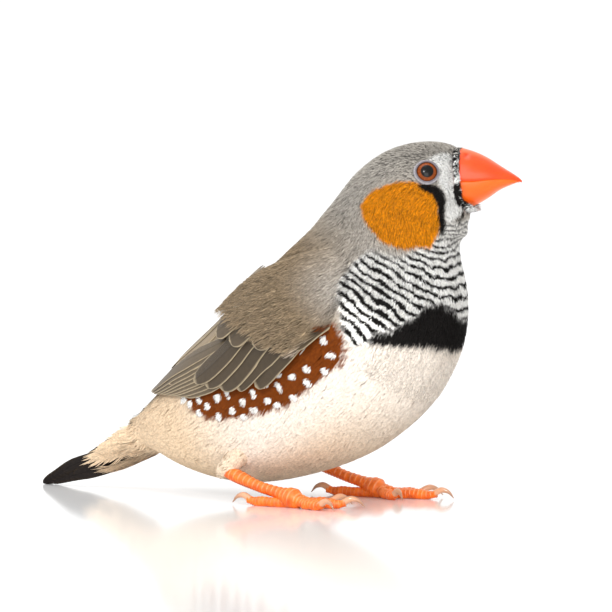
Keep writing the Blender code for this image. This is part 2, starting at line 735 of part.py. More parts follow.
def make_cuff(parts, cutters, word, shank_line, shank_radii, materials):
    """The feathered end of the thigh, between the belly and the heel."""
    heel = Vector(HEELS[word]) * MM
    inward = 1.0 if heel.y < 0 else -1.0
    line = [heel + Vector((ahead, aside * inward, up)) * MM for ahead, aside, up, radius in CUFF_SECTIONS]
    thigh = limb("thigh_" + word, parts, line, [radius * MM for *place, radius in CUFF_SECTIONS], CUFF_SIDES)
    body_loft("clear_of_torso", cutters, 0.0, NECK_FROM, TORSO_RINGS, BODY_SIDES, GAP)
    limb("clear_of_shank", cutters, shank_line, [radius + GAP for radius in shank_radii], 12, False)
    boolean(thigh, "DIFFERENCE", cutters, merge=CUFF_MERGE_DISTANCE)
    finish(thigh, materials["thigh"])


def make_materials():
    """One finish for each kind of surface."""
    finishes = {
        "head": ((0.42, 0.41, 0.39), 0.85),
        "neck": ((0.45, 0.44, 0.43), 0.85),
        "torso": ((0.86, 0.82, 0.74), 0.85),
        "tail": ((0.06, 0.05, 0.045), 0.7),
        "wing": ((0.30, 0.25, 0.19), 0.75),
        "thigh": ((0.86, 0.80, 0.70), 0.85),
        "shank": ((0.90, 0.33, 0.08), 0.5),
        "toe": ((0.92, 0.36, 0.12), 0.5),
        "claw": ((0.75, 0.42, 0.25), 0.35),
        "bill_upper": ((0.88, 0.16, 0.04), 0.3),
        "bill_lower": ((0.92, 0.24, 0.04), 0.3),
        "eye": ((0.02, 0.015, 0.012), 0.08),
    }
    return {name: make_material(name, colour, rough) for name, (colour, rough) in finishes.items()}


def stand_on_origin(parts):
    """Moves the bird so that the middle of its plan is at the origin."""
    for piece in parts.objects:
        piece.location.x -= PLAN_CENTRE[0] * MM
        piece.location.y -= PLAN_CENTRE[1] * MM


def main():
    """Builds every part of the bird."""
    for old in list(bpy.data.objects):
        bpy.data.objects.remove(old, do_unlink=True)
    parts = bpy.data.collections.new(COLLECTION_NAME)
    cutters = bpy.data.collections.new("cutters")
    bpy.context.scene.collection.children.link(parts)
    bpy.context.scene.collection.children.link(cutters)
    materials = make_materials()
    make_torso(parts, materials)
    make_neck(parts, materials)
    make_head(parts, cutters, materials)
    make_eyes(parts, materials)
    make_bill(parts, cutters, materials)
    make_tail(parts, cutters, materials)
    for side, word in ((-1, "right"), (1, "left")):
        make_wing(parts, cutters, side, word, materials)
        make_leg(parts, cutters, word, materials)
    stand_on_origin(parts)


main()
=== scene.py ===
"""The looks of a life-size zebra finch: skin, feathers, eyes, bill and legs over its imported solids.

Sizes in the code are in millimetres times MM and the bird faces +X, as in its solids. A place on
the body is a share of the way from the root of the tail to the root of the bill, and degrees
round it: 0 is the back, 90 the left side, -90 the right side and 180 the belly.
"""

from math import cos, pi, radians, sin

import bpy
import numpy as np
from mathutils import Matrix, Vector


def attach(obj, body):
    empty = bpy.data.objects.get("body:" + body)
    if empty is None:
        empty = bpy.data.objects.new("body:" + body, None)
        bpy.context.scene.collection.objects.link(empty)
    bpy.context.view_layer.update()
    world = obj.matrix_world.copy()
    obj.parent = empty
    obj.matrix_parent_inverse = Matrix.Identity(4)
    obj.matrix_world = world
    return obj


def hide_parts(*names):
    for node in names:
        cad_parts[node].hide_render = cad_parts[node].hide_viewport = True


bl_info = {
    "name": "Zebra finch",
    "version": (1, 0, 0),
    "blender": (4, 5, 0),
    "location": "View3D > Sidebar > Finch",
    "description": "Builds the plumage, eyes, bill and legs of a zebra finch, and its stage",
    "category": "Add Mesh",
}

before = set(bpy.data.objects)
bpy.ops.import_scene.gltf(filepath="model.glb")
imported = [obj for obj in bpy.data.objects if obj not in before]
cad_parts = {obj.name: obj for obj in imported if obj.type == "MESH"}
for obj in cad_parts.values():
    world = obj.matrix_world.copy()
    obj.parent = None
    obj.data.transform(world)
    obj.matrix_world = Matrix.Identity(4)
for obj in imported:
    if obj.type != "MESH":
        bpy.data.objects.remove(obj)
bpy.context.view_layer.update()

MM = 0.001
BODY = "root"

# The body's sections, as in the solids: middle x, middle z, lean in degrees, half height above,
# half height below, half width.
BODY_SECTIONS = (
    (-39.0, 9.6, 28, 3.4, 3.4, 4.2),
    (-32.2, 10.6, 20, 6.6, 6.8, 7.8),
    (-23.4, 12.8, 23, 10.6, 11.2, 11.0),
    (-13.0, 16.8, 29, 13.8, 14.2, 13.2),
    (-3.2, 22.9, 37, 15.4, 16.8, 14.4),
    (4.8, 29.3, 46, 15.2, 17.0, 14.2),
    (9.0, 35.4, 55, 13.8, 15.2, 13.0),
    (10.6, 40.2, 61, 12.2, 12.8, 11.4),
    (11.2, 44.0, 62, 10.3, 10.7, 10.0),
    (12.4, 47.2, 54, 9.0, 9.6, 8.9),
    (14.6, 49.6, 41, 7.9, 9.2, 8.3),
    (17.2, 51.0, 26, 6.7, 7.8, 7.5),
    (19.6, 51.5, 12, 5.6, 6.3, 6.2),
    (21.2, 51.5, 4, 4.7, 4.8, 4.5),
)
SQUARENESS = 2.3
HEAD_TURN = radians(30)
TURN_AXIS_X = 9.0 * MM
TURN_FROM = 0.46
TURN_TO = 0.80
PLAN_CENTRE = np.array([-16.12, 0.92, 0.0]) * MM

EYE_SHARE = 0.954
EYE_ANGLE = 77.6
EYE_RADIUS = 2.2 * MM
EYE_DEPTH = 1.5 * MM
FEATHERS_FROM_EYE = 1.82

# The bare ring of the eye: its radius, and its height over the middle of the ball.
LID_SECTIONS = (
    (1.50, 1.45), (1.53, 1.66), (1.58, 1.76), (1.64, 1.80), (1.72, 1.78), (1.82, 1.72), (1.92, 1.62),
    (1.99, 1.35), (1.96, 0.80), (1.70, 0.70),
)

# Distance ahead, top edge, line of the mouth, bottom edge and half width of the bill.
BILL_SECTIONS = (
    (21.0, 56.3, 51.2, 46.5, 3.75),
    (21.7, 56.2, 51.2, 46.7, 3.7),
    (23.6, 55.6, 51.2, 47.4, 3.45),
    (25.5, 54.7, 51.4, 48.5, 2.95),
    (27.4, 53.5, 51.5, 49.8, 2.2),
    (29.2, 52.4, 51.4, 50.6, 1.25),
    (30.2, 51.75, 51.15, 50.95, 0.62),
    (30.75, 51.25, 50.95, 50.9, 0.18),
)
LOWER_BILL_TIP = (30.3, 51.1, 50.95, 50.75, 0.3)

# The tail: middle line, roll in degrees, half width and half thickness of its core.
TAIL_SECTIONS = (
    (-39.0, 0.0, 9.5, 0, 4.2, 3.4),
    (-43.0, -0.4, 7.7, 22, 4.0, 2.8),
    (-48.0, -1.3, 5.0, 45, 3.0, 1.6),
    (-53.5, -2.6, 3.0, 58, 1.7, 0.8),
    (-57.0, -3.6, 1.3, 62, 0.9, 0.4),
    (-60.0, -4.5, -0.1, 64, 0.4, 0.3),
)

# The folded wing: share of the body, upper and lower edge in degrees.
WING_EDGES = (
    (0.735, 62, 72),
    (0.700, 46, 82),
    (0.640, 32, 90),
    (0.560, 20, 95),
    (0.470, 12, 92),
    (0.380, 8, 86),
    (0.290, 7, 78),
    (0.220, 9, 66),
    (0.165, 18, 52),
)

# The wing's feathers in tiers, as in the solids: root share and degrees, tip share and degrees,
# half width, and how far root and tip stand off the body.
PRIMARIES = (
    (0.42, 66, 0.082, 36, 1.9, 1.1, 1.3),
    (0.42, 71, 0.105, 47, 1.8, 1.0, 1.1),
    (0.42, 76, 0.140, 56, 1.7, 0.95, 0.95),
    (0.42, 81, 0.180, 65, 1.6, 0.9, 0.85),
    (0.42, 86, 0.230, 74, 1.5, 0.9, 0.8),
)
SECONDARIES = (
    (0.55, 73, 0.290, 74, 1.9, 1.3, 1.45),
    (0.57, 79, 0.335, 83, 1.9, 1.25, 1.35),
    (0.60, 85, 0.390, 90, 2.0, 1.2, 1.3),
    (0.64, 89, 0.450, 96, 2.0, 1.15, 1.3),
)
TERTIALS = (
    (0.48, 22, 0.120, 15, 2.2, 1.4, 1.7),
    (0.50, 40, 0.180, 36, 2.3, 1.4, 1.65),
    (0.52, 56, 0.255, 57, 2.2, 1.4, 1.6),
)
GREATER_COVERTS = (
    (0.54, 60, 0.400, 58, 1.7, 1.6, 1.9),
    (0.57, 67, 0.430, 68, 1.7, 1.6, 1.9),
    (0.60, 74, 0.470, 77, 1.7, 1.5, 1.85),
    (0.64, 81, 0.515, 85, 1.7, 1.4, 1.8),
    (0.68, 85, 0.565, 92, 1.6, 1.2, 1.7),
)
MEDIAN_COVERTS = (
    (0.60, 55, 0.480, 54, 1.7, 1.7, 2.15),
    (0.63, 64, 0.510, 65, 1.7, 1.7, 2.15),
    (0.67, 72, 0.555, 75, 1.7, 1.5, 2.05),
    (0.70, 78, 0.605, 84, 1.6, 1.2, 1.9),
)
SCAPULARS = (
    (0.56, 28, 0.380, 28, 2.1, 1.6, 2.15),
    (0.60, 42, 0.430, 45, 2.0, 1.7, 2.25),
    (0.65, 52, 0.520, 55, 1.9, 1.5, 2.3),
)

# How far feathers of a tier are wider, or lie nearer to the body, than the solids'.
WIDER_COVERT = np.array([0.0, 0.0, 0.0, 0.0, 0.55, 0.0, 0.0])
COVERT_SINK = np.array([0.0, 0.0, 0.0, 0.0, 0.0, 0.3, 0.35])
TERTIAL_SINK = np.array([0.0, 0.0, 0.0, 0.0, 0.0, 1.1, 0.45])

# The legs: heel, foot, and the direction and reach of each digit, the hind one first.
HEELS = {"right": (-15.2, -10.2, 4.9), "left": (-16.0, 11.2, 5.6)}
FEET = {"right": (0.3, -11.2, 1.3), "left": (-2.0, 12.2, 1.3)}
DIGIT_AZIMUTHS = {"right": (186, 62, 30, -12), "left": (190, -28, 15, 44)}
DIGIT_REACHES = {"right": (12.0, 9.6, 11.0, 9.8), "left": (12.6, 9.6, 13.0, 10.2)}
CLAW_REACH = 3.06 * MM
TOE_SHARES = (0.1, 0.42, 0.62, 0.82, 1.0)
FRONT_TOE_HEIGHTS = (1.1, 0.7, 0.8, 0.62, 0.9)
HIND_TOE_HEIGHTS = (0.85, 0.58, 0.66, 0.6, 0.9)
CLAW_SHARES = (0.35, 0.7, 1.0)
CLAW_HEIGHTS = (1.55, 1.25, 0.3)
TOE_RADII = np.array([1.15, 0.95, 0.74, 0.80, 0.70, 0.56]) * MM
CLAW_RADII = np.array([0.52, 0.46, 0.28, 0.05]) * MM

# The pitch of the plates on shank and toes.
SHANK_PLATE = 1.05
TOE_PLATE = 0.72

# The shank: share of the way from heel to foot, drop below the straight line, and radius.
SHANK_SECTIONS = (
    (0.0, 0.0, 0.75),
    (0.1, 0.0, 0.95),
    (0.5, 0.25, 0.8),
    (0.8, 0.0, 0.95),
    (1.0, 0.0, 1.45),
    (1.06, 0.0, 0.9),
)

# The feathered cuff over the heel: ahead, inward and above it, and the radius of its skin.
CUFF_SECTIONS = (
    (5.6, 2.6, 6.4, 1.33),
    (3.2, 1.2, 3.8, 2.03),
    (1.6, 0.6, 1.9, 1.75),
    (0.4, 0.0, 0.6, 1.4),
    (-0.6, 0.0, -0.3, 1.05),
    (-1.2, 0.0, -0.8, 0.56),
)

# Outlines of the markings, as share of the body and degrees from the back.
CHEEK_OUTLINE = (
    (0.837, 60), (0.867, 62), (0.894, 71), (0.922, 81), (0.936, 90), (0.946, 102),
    (0.945, 115), (0.919, 129), (0.871, 138), (0.830, 131), (0.820, 116), (0.803, 104),
    (0.797, 90), (0.810, 78), (0.824, 67),
)
TEAR_OUTLINE = (
    (0.928, 88), (0.946, 90), (0.962, 95), (0.972, 104), (0.972, 116), (0.958, 126),
    (0.928, 136), (0.880, 143), (0.872, 139), (0.905, 131), (0.937, 121), (0.946, 110),
    (0.944, 101), (0.934, 94),
)
CHIN_LINE = (
    (1.004, 146), (1.004, 153), (0.985, 154.5), (0.955, 155), (0.948, 152.5), (0.968, 150),
    (0.985, 148),
)
LORE_OUTLINE = (
    (0.962, 58), (0.985, 40), (1.02, 45), (1.02, 150), (0.985, 148), (0.945, 143),
    (0.928, 138), (0.958, 127), (0.972, 116), (0.972, 104), (0.966, 92), (0.972, 76),
)
BREAST_PATCH = (
    (0.742, 131), (0.750, 142), (0.748, 156), (0.742, 165), (0.736, 176), (0.735, 190),
    (0.690, 190), (0.694, 160), (0.684, 140), (0.668, 125), (0.648, 113), (0.655, 109),
    (0.690, 118), (0.722, 126),
)
FLANK_OUTLINE = (
    (0.215, 50), (0.222, 72), (0.243, 88), (0.280, 96), (0.345, 103), (0.415, 109),
    (0.471, 114), (0.512, 114), (0.561, 112), (0.600, 112), (0.622, 106), (0.638, 98),
    (0.634, 93), (0.590, 90), (0.540, 80), (0.400, 60),
)
HEAD_MM_PER_DEGREE = 0.14
BODY_MM_PER_DEGREE = 0.23

# The stripes of the throat and breast, in shares of the body.
STRIPE_PERIOD = 0.0132
STRIPE_DUTY = 0.37
STRIPE_FRONT_SWEEP = 0.03
THROAT_STRIPE_SHARE = 0.845

# How far the chin's feathers stand off the head's section, in millimetres.
CHIN_DEPTH = 1.3

# The steps between the flank's white spots and between the rump's bars, in millimetres.
SPOT_STEP_ALONG = 2.9
SPOT_STEP_ROUND = 1.6
RUMP_BAR = 3.4

# How far the folded wing lifts the feathers over it, in millimetres.
WING_LIFT = 2.15

UPWARD = np.array([0.0, 0.0, 1.0])

# The lights: place, size in metres and watts. All shine at one point of the bird.
WORLD_STRENGTH = 1.08
LIGHT_TARGET = (0.0, 0.0, 0.03)
LIGHTS = (
    ("key", (0.30, -0.67, 0.43), 0.15, 3.0),
    ("fill", (0.62, -0.62, 0.06), 0.5, 3.5),
    ("top", (-0.2, -0.1, 1.0), 0.8, 4.0),
)

# The picture: its width in pixels, the size of a pixel at the bird, how far its middle lies to the
# right of and above the bird's origin in pixels, and the camera's sensor in millimetres.
PICTURE_WIDTH = 612
PIXEL = 0.158 * MM
PICTURE_SHIFT = (-34, 197)
SENSOR_WIDTH = 36.0


def paint(red, green, blue):
    """A colour given as screen values from 0 to 255, in linear light."""
    channels = np.array([red, green, blue], float) / 255.0
    return tuple(np.where(channels <= 0.04045, channels / 12.92, ((channels + 0.055) / 1.055) ** 2.4))


def colour_setting(name, description, colour):
    """A colour that a user can change."""
    return bpy.props.FloatVectorProperty(name=name, description=description, subtype="COLOR", size=3,
                                         min=0.0, max=1.0, default=paint(*colour))


def length_setting(name, description, millimetres):
    """A length that a user can change, given in millimetres."""
    return bpy.props.FloatProperty(name=name, description=description, subtype="DISTANCE", unit="LENGTH",
                                   min=0.0, default=millimetres * MM)


class FinchPlumage(bpy.types.PropertyGroup):
    """Sizes and colours of the short feathers."""

    depth: length_setting("Coat depth", "How far the skin lies under the tips of the feathers", 0.55)
    barb_width: length_setting("Barb width", "Width of one barb of a body feather", 0.15)
    density: bpy.props.FloatProperty(name="Density", description="Feathers for each area, 1 as modelled",
                                     min=0.1, max=2.0, default=1.0, subtype="FACTOR")
    crown: colour_setting("Crown", "Grey of the crown and nape", (182, 176, 167))
    neck: colour_setting("Neck", "Grey of the sides of the neck", (190, 182, 172))
    mantle: colour_setting("Mantle", "Brown grey of the back", (152, 132, 105))
    cheek: colour_setting("Cheek", "Orange of the cheek patch", (225, 141, 4))
    white: colour_setting("White", "White of the lore and of the bars", (254, 253, 249))
    black: colour_setting("Black", "Black of the tear line, breast and bars", (16, 12, 10))
    belly: colour_setting("Belly", "White of the belly", (238, 227, 215))
    vent: colour_setting("Vent", "Cream of the vent and thighs", (222, 197, 166))
    flank: colour_setting("Flank", "Chestnut of the flank", (114, 53, 3))


class FinchFeathers(bpy.types.PropertyGroup):
    """Sizes and colours of the flight and tail feathers."""

    thickness: length_setting("Vane thickness", "Thickness of a flight feather at its shaft", 0.14)
    dark: colour_setting("Dark vane", "Brown of the secondaries", (66, 52, 32))
    middle: colour_setting("Middle vane", "Grey brown of the coverts and tertials", (138, 120, 94))
    pale: colour_setting("Pale edge", "Buff of the feathers' edges", (190, 172, 140))
    tail: colour_setting("Tail", "Black brown of the tail", (34, 29, 27))


class FinchBareParts(bpy.types.PropertyGroup):
    """Sizes and colours of the eyes, bill and legs."""

    pupil_radius: length_setting("Pupil radius", "Half width of the pupil", 0.99)
    iris_radius: length_setting("Iris radius", "Half width of the iris", 1.52)
    iris: colour_setting("Iris", "Brown orange of the iris", (134, 61, 10))
    lid: colour_setting("Eye ring", "Blue grey of the bare ring round the eye", (106, 100, 106))
    bill_upper: colour_setting("Upper bill", "Red orange of the upper bill", (236, 70, 12))
    bill_lower: colour_setting("Lower bill", "Orange of the lower bill", (242, 98, 10))
    leg: colour_setting("Leg", "Orange of the legs and toes", (250, 118, 22))
    claw: colour_setting("Claw", "Horn colour of the claws", (214, 158, 122))


class FinchStage(bpy.types.PropertyGroup):
    """Floor, light and camera."""

    floor_size: length_setting("Floor size", "Side of the square floor", 6000.0)
    distance: length_setting("Camera distance", "From the camera to the bird", 900.0)
    azimuth: bpy.props.FloatProperty(name="Azimuth", description="Direction of the camera round the bird",
                                     subtype="ANGLE", default=radians(40))
    elevation: bpy.props.FloatProperty(name="Elevation", description="Height of the camera as an angle",
                                       subtype="ANGLE", default=radians(5))
    light: bpy.props.FloatProperty(name="Light", description="Strength of the lights, 1 as set",
                                   min=0.0, default=1.0, subtype="FACTOR")


def smooth_step(value):
    """A step from 0 to 1 with level ends."""
    value = np.clip(value, 0.0, 1.0)
    return value * value * (3.0 - 2.0 * value)


def ramp(value, start, width):
    """A step from 0 at the start to 1 a width further on, or further back if the width is negative."""
    return smooth_step((value - start) / width)


def spline(knots, rows, at):
    """Rows of values read at new knots from a smooth curve through all of them."""
    knots = np.asarray(knots, float)
    rows = np.asarray(rows, float)
    at = np.clip(np.asarray(at, float), knots[0], knots[-1])
    index = np.clip(np.searchsorted(knots, at, side="right") - 1, 0, len(knots) - 2)
    slopes = np.gradient(rows, knots, axis=0)
    step = (knots[index + 1] - knots[index])[..., None]
    share = (at - knots[index])[..., None] / step
    square = share ** 2
    cube = share ** 3
    start = (2 * cube - 3 * square + 1) * rows[index]
    start_slope = (cube - 2 * square + share) * step * slopes[index]
    end = (3 * square - 2 * cube) * rows[index + 1]
    end_slope = (cube - square) * step * slopes[index + 1]
    return start + start_slope + end + end_slope


BODY_ROWS = np.array(BODY_SECTIONS, float) * np.array([MM, MM, pi / 180, MM, MM, MM])
BODY_STEPS = np.hypot(np.diff(BODY_ROWS[:, 0]), np.diff(BODY_ROWS[:, 1]))
BODY_LENGTH = BODY_STEPS.sum()
BODY_KNOTS = np.concatenate([[0.0], np.cumsum(BODY_STEPS)]) / BODY_LENGTH
TAIL_ROWS = np.array(TAIL_SECTIONS, float) * np.array([MM, MM, MM, pi / 180, MM, MM])
WING_ROWS = np.array(WING_EDGES, float)[::-1]


def turned(points, share):
    """Turns points about the neck's upright axis, as far as their share of the body says."""
    angle = HEAD_TURN * ramp(share, TURN_FROM, TURN_TO - TURN_FROM)
    ahead = points[..., 0] - TURN_AXIS_X
    aside = points[..., 1]
    x = TURN_AXIS_X + ahead * np.cos(angle) - aside * np.sin(angle)
    y = ahead * np.sin(angle) + aside * np.cos(angle)
    return np.stack([x, y, points[..., 2]], axis=-1)


def rounded(value):
    """The cosine or sine of an angle, squared off towards a full section."""
    return np.sign(value) * np.abs(value) ** (2.0 / SQUARENESS)


def body_point(share, angle, out=0.0):
    """Points on the body, or standing off it by out."""
    share, angle, out = np.broadcast_arrays(np.asarray(share, float), np.radians(angle), out)
    row = spline(BODY_KNOTS, BODY_ROWS, share)
    lean = row[..., 2]
    level = np.zeros_like(lean)
    upward = np.stack([-np.sin(lean), level, np.cos(lean)], axis=-1)
    height = np.where(np.cos(angle) > 0, row[..., 3], row[..., 4]) + out
    width = row[..., 5] + out
    points = np.stack([row[..., 0], level, row[..., 1]], axis=-1)
    points = points + upward * (height * rounded(np.cos(angle)))[..., None]
    points[..., 1] += width * rounded(np.sin(angle))
    return turned(points, share)


def head_point(ahead, aside, height):
    """Points given on the head as if it looked straight ahead, turned with the head."""
    ahead, aside, height = np.broadcast_arrays(ahead, aside, height)
    return turned(np.stack([ahead, aside, height], axis=-1).astype(float), np.ones(ahead.shape))


def unit(vectors):
    """Vectors of length 1."""
    return vectors / np.maximum(np.linalg.norm(vectors, axis=-1, keepdims=True), 1e-12)


def tail_frames():
    """Middle, left and upper direction, half width and thickness at 201 places along the tail."""
    places = np.linspace(0.0, 1.0, 201)
    knots = np.linspace(0.0, 1.0, len(TAIL_ROWS))
    rows = spline(knots, TAIL_ROWS, places)
    ahead = spline(knots, TAIL_ROWS, np.minimum(places + 0.05, 1.0))
    behind = spline(knots, TAIL_ROWS, np.maximum(places - 0.05, 0.0))
    direction = unit(ahead[:, :3] - behind[:, :3])
    left = unit(np.cross(np.array([0.0, 0.0, 1.0]), -direction))
    upper = np.cross(-direction, left)
    roll = rows[:, 3:4]
    across = left * np.cos(roll) - upper * np.sin(roll)
    dorsal = upper * np.cos(roll) + left * np.sin(roll)
    return places, np.concatenate([rows[:, :3], across, dorsal, rows[:, 4:6]], axis=1)


TAIL_PLACES, TAIL_FRAMES = tail_frames()


def tail_read(place):
    """The tail's frame at any places."""
    place = np.asarray(place, float)
    values = [np.interp(place, TAIL_PLACES, TAIL_FRAMES[:, column]) for column in range(11)]
    return np.stack(values, axis=-1)


def tail_surface(share, angle, out=0.0):
    """Points on the tail's core: share 1 is its root and 0 its tip."""
    share, angle, out = np.broadcast_arrays(np.asarray(share, float), np.radians(angle), out)
    row = tail_read(1.0 - share)
    width = (row[..., 9] + out) * rounded(np.sin(angle))
    depth = (row[..., 10] + out) * rounded(np.cos(angle))
    points = row[..., 0:3] + row[..., 3:6] * width[..., None] + row[..., 6:9] * depth[..., None]
    points[..., 2] = np.maximum(points[..., 2], 0.0)
    return points


def wing_place(share, angle):
    """How far down the folded wing a place is: 0 at its upper edge and 1 at its lower edge."""
    edges = spline(WING_ROWS[:, 0], WING_ROWS[:, 1:], share)
    return (np.abs(angle) - edges[..., 0]) / (edges[..., 1] - edges[..., 0])


def plumage_height(share, angle):
    """How far the folded wing lifts the feathers that lie over it."""
    place = wing_place(share, angle)
    across = ramp(place, 0.0, 0.35) * ramp(place, 1.04, -0.06)
    along = ramp(share, 0.745, -0.07) * ramp(share, 0.12, 0.10)
    return WING_LIFT * MM * across * along


def chin_height(share, angle):
    """How far the loose feathers of chin and throat fill the hollow under the bill."""
    under = ramp(np.abs(angle), 122, 34)
    along = ramp(share, 0.80, 0.14) * ramp(share, 1.045, -0.06)
    return CHIN_DEPTH * MM * under * along


def wobble(x, y):
    """A smooth, uneven field between about -1 and 1; x and y are in millimetres."""
    field = np.sin(1.31 * x + 2.17 * y + 1.3) + np.sin(2.63 * x - 1.07 * y + 4.1)
    field += np.sin(-1.19 * x + 3.41 * y + 0.7) + np.sin(0.57 * x + 0.83 * y + 2.9)
    return field / 4.0


def outline_distance(share, angle, outline, mm_per_degree):
    """Distance in millimetres from a closed outline of markings, less than 0 inside it."""
    length = BODY_LENGTH / MM
    x = np.asarray(share, float) * length
    y = np.abs(angle) * mm_per_degree
    corners = np.array(outline, float) * np.array([length, mm_per_degree])
    nearest = np.full(x.shape, 1e9)
    inside = np.zeros(x.shape, bool)
    for start, end in zip(corners, np.roll(corners, -1, axis=0)):
        edge = end - start
        place = np.clip(((x - start[0]) * edge[0] + (y - start[1]) * edge[1]) / (edge @ edge), 0.0, 1.0)
        gap = np.hypot(x - start[0] - place * edge[0], y - start[1] - place * edge[1])
        nearest = np.minimum(nearest, gap)
        crosses = (start[1] > y) != (end[1] > y)
        rise = edge[1] if abs(edge[1]) > 1e-9 else 1e-9
        inside ^= crosses & (x < start[0] + (y - start[1]) * edge[0] / rise)
    return np.where(inside, -nearest, nearest)


def marked(share, angle, outline, mm_per_degree, soft, ragged=0.0):
    """How strongly a place lies in a marking, from 0 to 1."""
    distance = outline_distance(share, angle, outline, mm_per_degree)
    if ragged:
        x = share * BODY_LENGTH / MM
        y = np.abs(angle) * mm_per_degree
        distance = distance + ragged * wobble(x * 2.1, y * 2.1)
    return smooth_step(0.5 - distance / (2.0 * soft))


def blend(below, above, weight):
    """One colour laid over another."""
    return below + (np.asarray(above) - below) * weight[..., None]


def evenly(share, colour):
    """One colour at every place."""
    return np.broadcast_to(np.array(colour), share.shape + (3,))


def spot_places(seed):
    """Share and degrees of the white spots of the flank, in uneven rows below the wing."""
    rng = np.random.default_rng(seed)
    column, row = np.meshgrid(np.arange(18), np.arange(12), indexing="ij")
    x = 18.0 + (column + 0.5 * (row % 2)) * SPOT_STEP_ALONG + rng.uniform(-0.45, 0.45, column.shape)
    y = 11.0 + row * SPOT_STEP_ROUND + rng.uniform(-0.35, 0.35, column.shape)
    share = (x * MM / BODY_LENGTH).ravel()
    side = (y / BODY_MM_PER_DEGREE).ravel()
    deep = outline_distance(share, side, FLANK_OUTLINE, BODY_MM_PER_DEGREE) < -0.25
    seen = (wing_place(share, side) > 1.04) | (share > 0.70)
    return share[deep & seen], side[deep & seen]


def breast_low(angle):
    """The share where the breast's markings end and the belly begins."""
    return np.interp(np.abs(angle), (76, 82, 90, 99, 108, 113, 125, 140, 160, 180),
                     (0.735, 0.688, 0.656, 0.631, 0.628, 0.646, 0.672, 0.687, 0.699, 0.702))


def breast_high(angle):
    """The share where the breast's bars begin below the cheek and the throat."""
    return np.interp(np.abs(angle), (76, 80, 84, 101, 118, 130, 142, 160, 180),
                     (0.73, 0.765, 0.782, 0.797, 0.835, 0.90, 0.95, 0.985, 1.0))


def bars(share, angle):
    """Strength, count and black share of the bars at places on the body."""
    side = np.abs(angle)
    x = share * BODY_LENGTH / MM
    y = side * 0.2
    sweep = -STRIPE_FRONT_SWEEP * ramp(side, 132, 48) * ramp(share, 0.70, 0.18)
    wider = 0.42 * np.maximum(share - THROAT_STRIPE_SHARE, 0.0) * ramp(side, 118, 30)
    count = (share + sweep - wider) / STRIPE_PERIOD
    fine = ramp(share, THROAT_STRIPE_SHARE, 0.03)
    count = count + 0.34 * wobble(x * 0.55, y * 0.55) + 0.16 * wobble(x * 1.9 + 5.0, y * 1.9)
    strength = ramp(share, breast_high(side), -0.02) * ramp(share, breast_low(side), 0.006)
    strength = strength * ramp(side, 75, 6)
    duty = STRIPE_DUTY + 0.22 * wobble(x * 1.1 + 2.0, y * 1.1) + 0.12 * ramp(share, 0.76, -0.06)
    strength = strength * (1.0 - 0.25 * fine)
    rump = ramp(share, 0.075, -0.02) * ramp(side, 44, -8)
    count = np.where(share < 0.1, (x + 0.6 * wobble(x, y)) / RUMP_BAR, count)
    duty = np.where(share < 0.1, 0.5, duty)
    return np.stack([np.maximum(strength, rump), count, duty], axis=-1)


def plumage(share, angle, look, flank=1.0):
    """The colour of the feathers at places on the body, and their bars."""
    side = np.abs(angle)
    tint = blend(evenly(share, look.mantle), look.crown, ramp(share, 0.64, 0.20))
    tint = blend(tint, look.neck, ramp(side, 48, 40) * ramp(share, 0.60, 0.08))
    low = ramp(side, 116, 40) * ramp(share, 0.66, -0.22) * 0.75
    cream = np.maximum(ramp(share, 0.40, -0.24), low)
    under = blend(evenly(share, look.belly), look.vent, cream)
    edge = np.interp(share, (0.0, 0.2, 0.26, 0.64), (40, 50, 84, 96))
    belly = ramp(side, edge, 10) * (share < 0.72)
    tint = blend(tint, under, belly)
    barred = bars(share, side)
    tint = blend(tint, look.white, barred[..., 0] * 0.85)
    low = ramp(share, breast_low(side), -0.006) * ramp(side, 92, 8)
    tint = blend(tint, under, low)
    patch = marked(share, side, BREAST_PATCH, BODY_MM_PER_DEGREE, 0.25, 0.4)
    tint = blend(tint, look.black, patch)
    chestnut = marked(share, side, FLANK_OUTLINE, BODY_MM_PER_DEGREE, 0.3, 0.55)
    chestnut = chestnut * ramp(wing_place(share, side), 0.86, 0.06) * flank
    tint = blend(tint, look.flank, chestnut)
    lore = marked(share, side, LORE_OUTLINE, HEAD_MM_PER_DEGREE, 0.5)
    tint = blend(tint, look.white, lore)
    round_eye = ramp(eye_distance(share, side), 3.3, -1.0)
    tint = blend(tint, look.crown, round_eye * 0.5 * (1.0 - lore))
    cheek = marked(share, side, CHEEK_OUTLINE, HEAD_MM_PER_DEGREE, 0.18, 0.15)
    tint = blend(tint, look.cheek, cheek)
    tear = marked(share, side, TEAR_OUTLINE, HEAD_MM_PER_DEGREE, 0.12, 0.08)
    tint = blend(tint, look.black, tear)
    base_line = np.interp(side, (0, 20, 64, 72, 80, 96, 100, 125, 142, 152),
                          (1.2, 0.994, 0.994, 0.996, 1.2, 1.2, 0.992, 0.991, 0.991, 1.2))
    line = ramp(share, base_line, 0.003)
    line = np.maximum(line, marked(share, side, CHIN_LINE, HEAD_MM_PER_DEGREE, 0.12, 0.12))
    tint = blend(tint, look.black, line)
    clear = (1.0 - np.maximum.reduce([cheek, tear, line, patch, chestnut])) * (1.0 - lore)
    barred[..., 0] *= clear
    return tint, barred


def eye_distance(share, side):
    """Distance in millimetres from the middle of the eye."""
    ahead = (share - EYE_SHARE) * BODY_LENGTH / MM * 1.25
    return np.hypot(ahead, (side - EYE_ANGLE) * HEAD_MM_PER_DEGREE * 0.95)


def signed_volume(points, faces):
    """Six times the volume inside closed faces, less than 0 when they point inward."""
    corners = [points[faces[:, column]] for column in range(faces.shape[1])]
    volume = np.sum(corners[0] * np.cross(corners[1], corners[2]))
    if len(corners) == 4:
        volume += np.sum(corners[0] * np.cross(corners[2], corners[3]))
    return volume


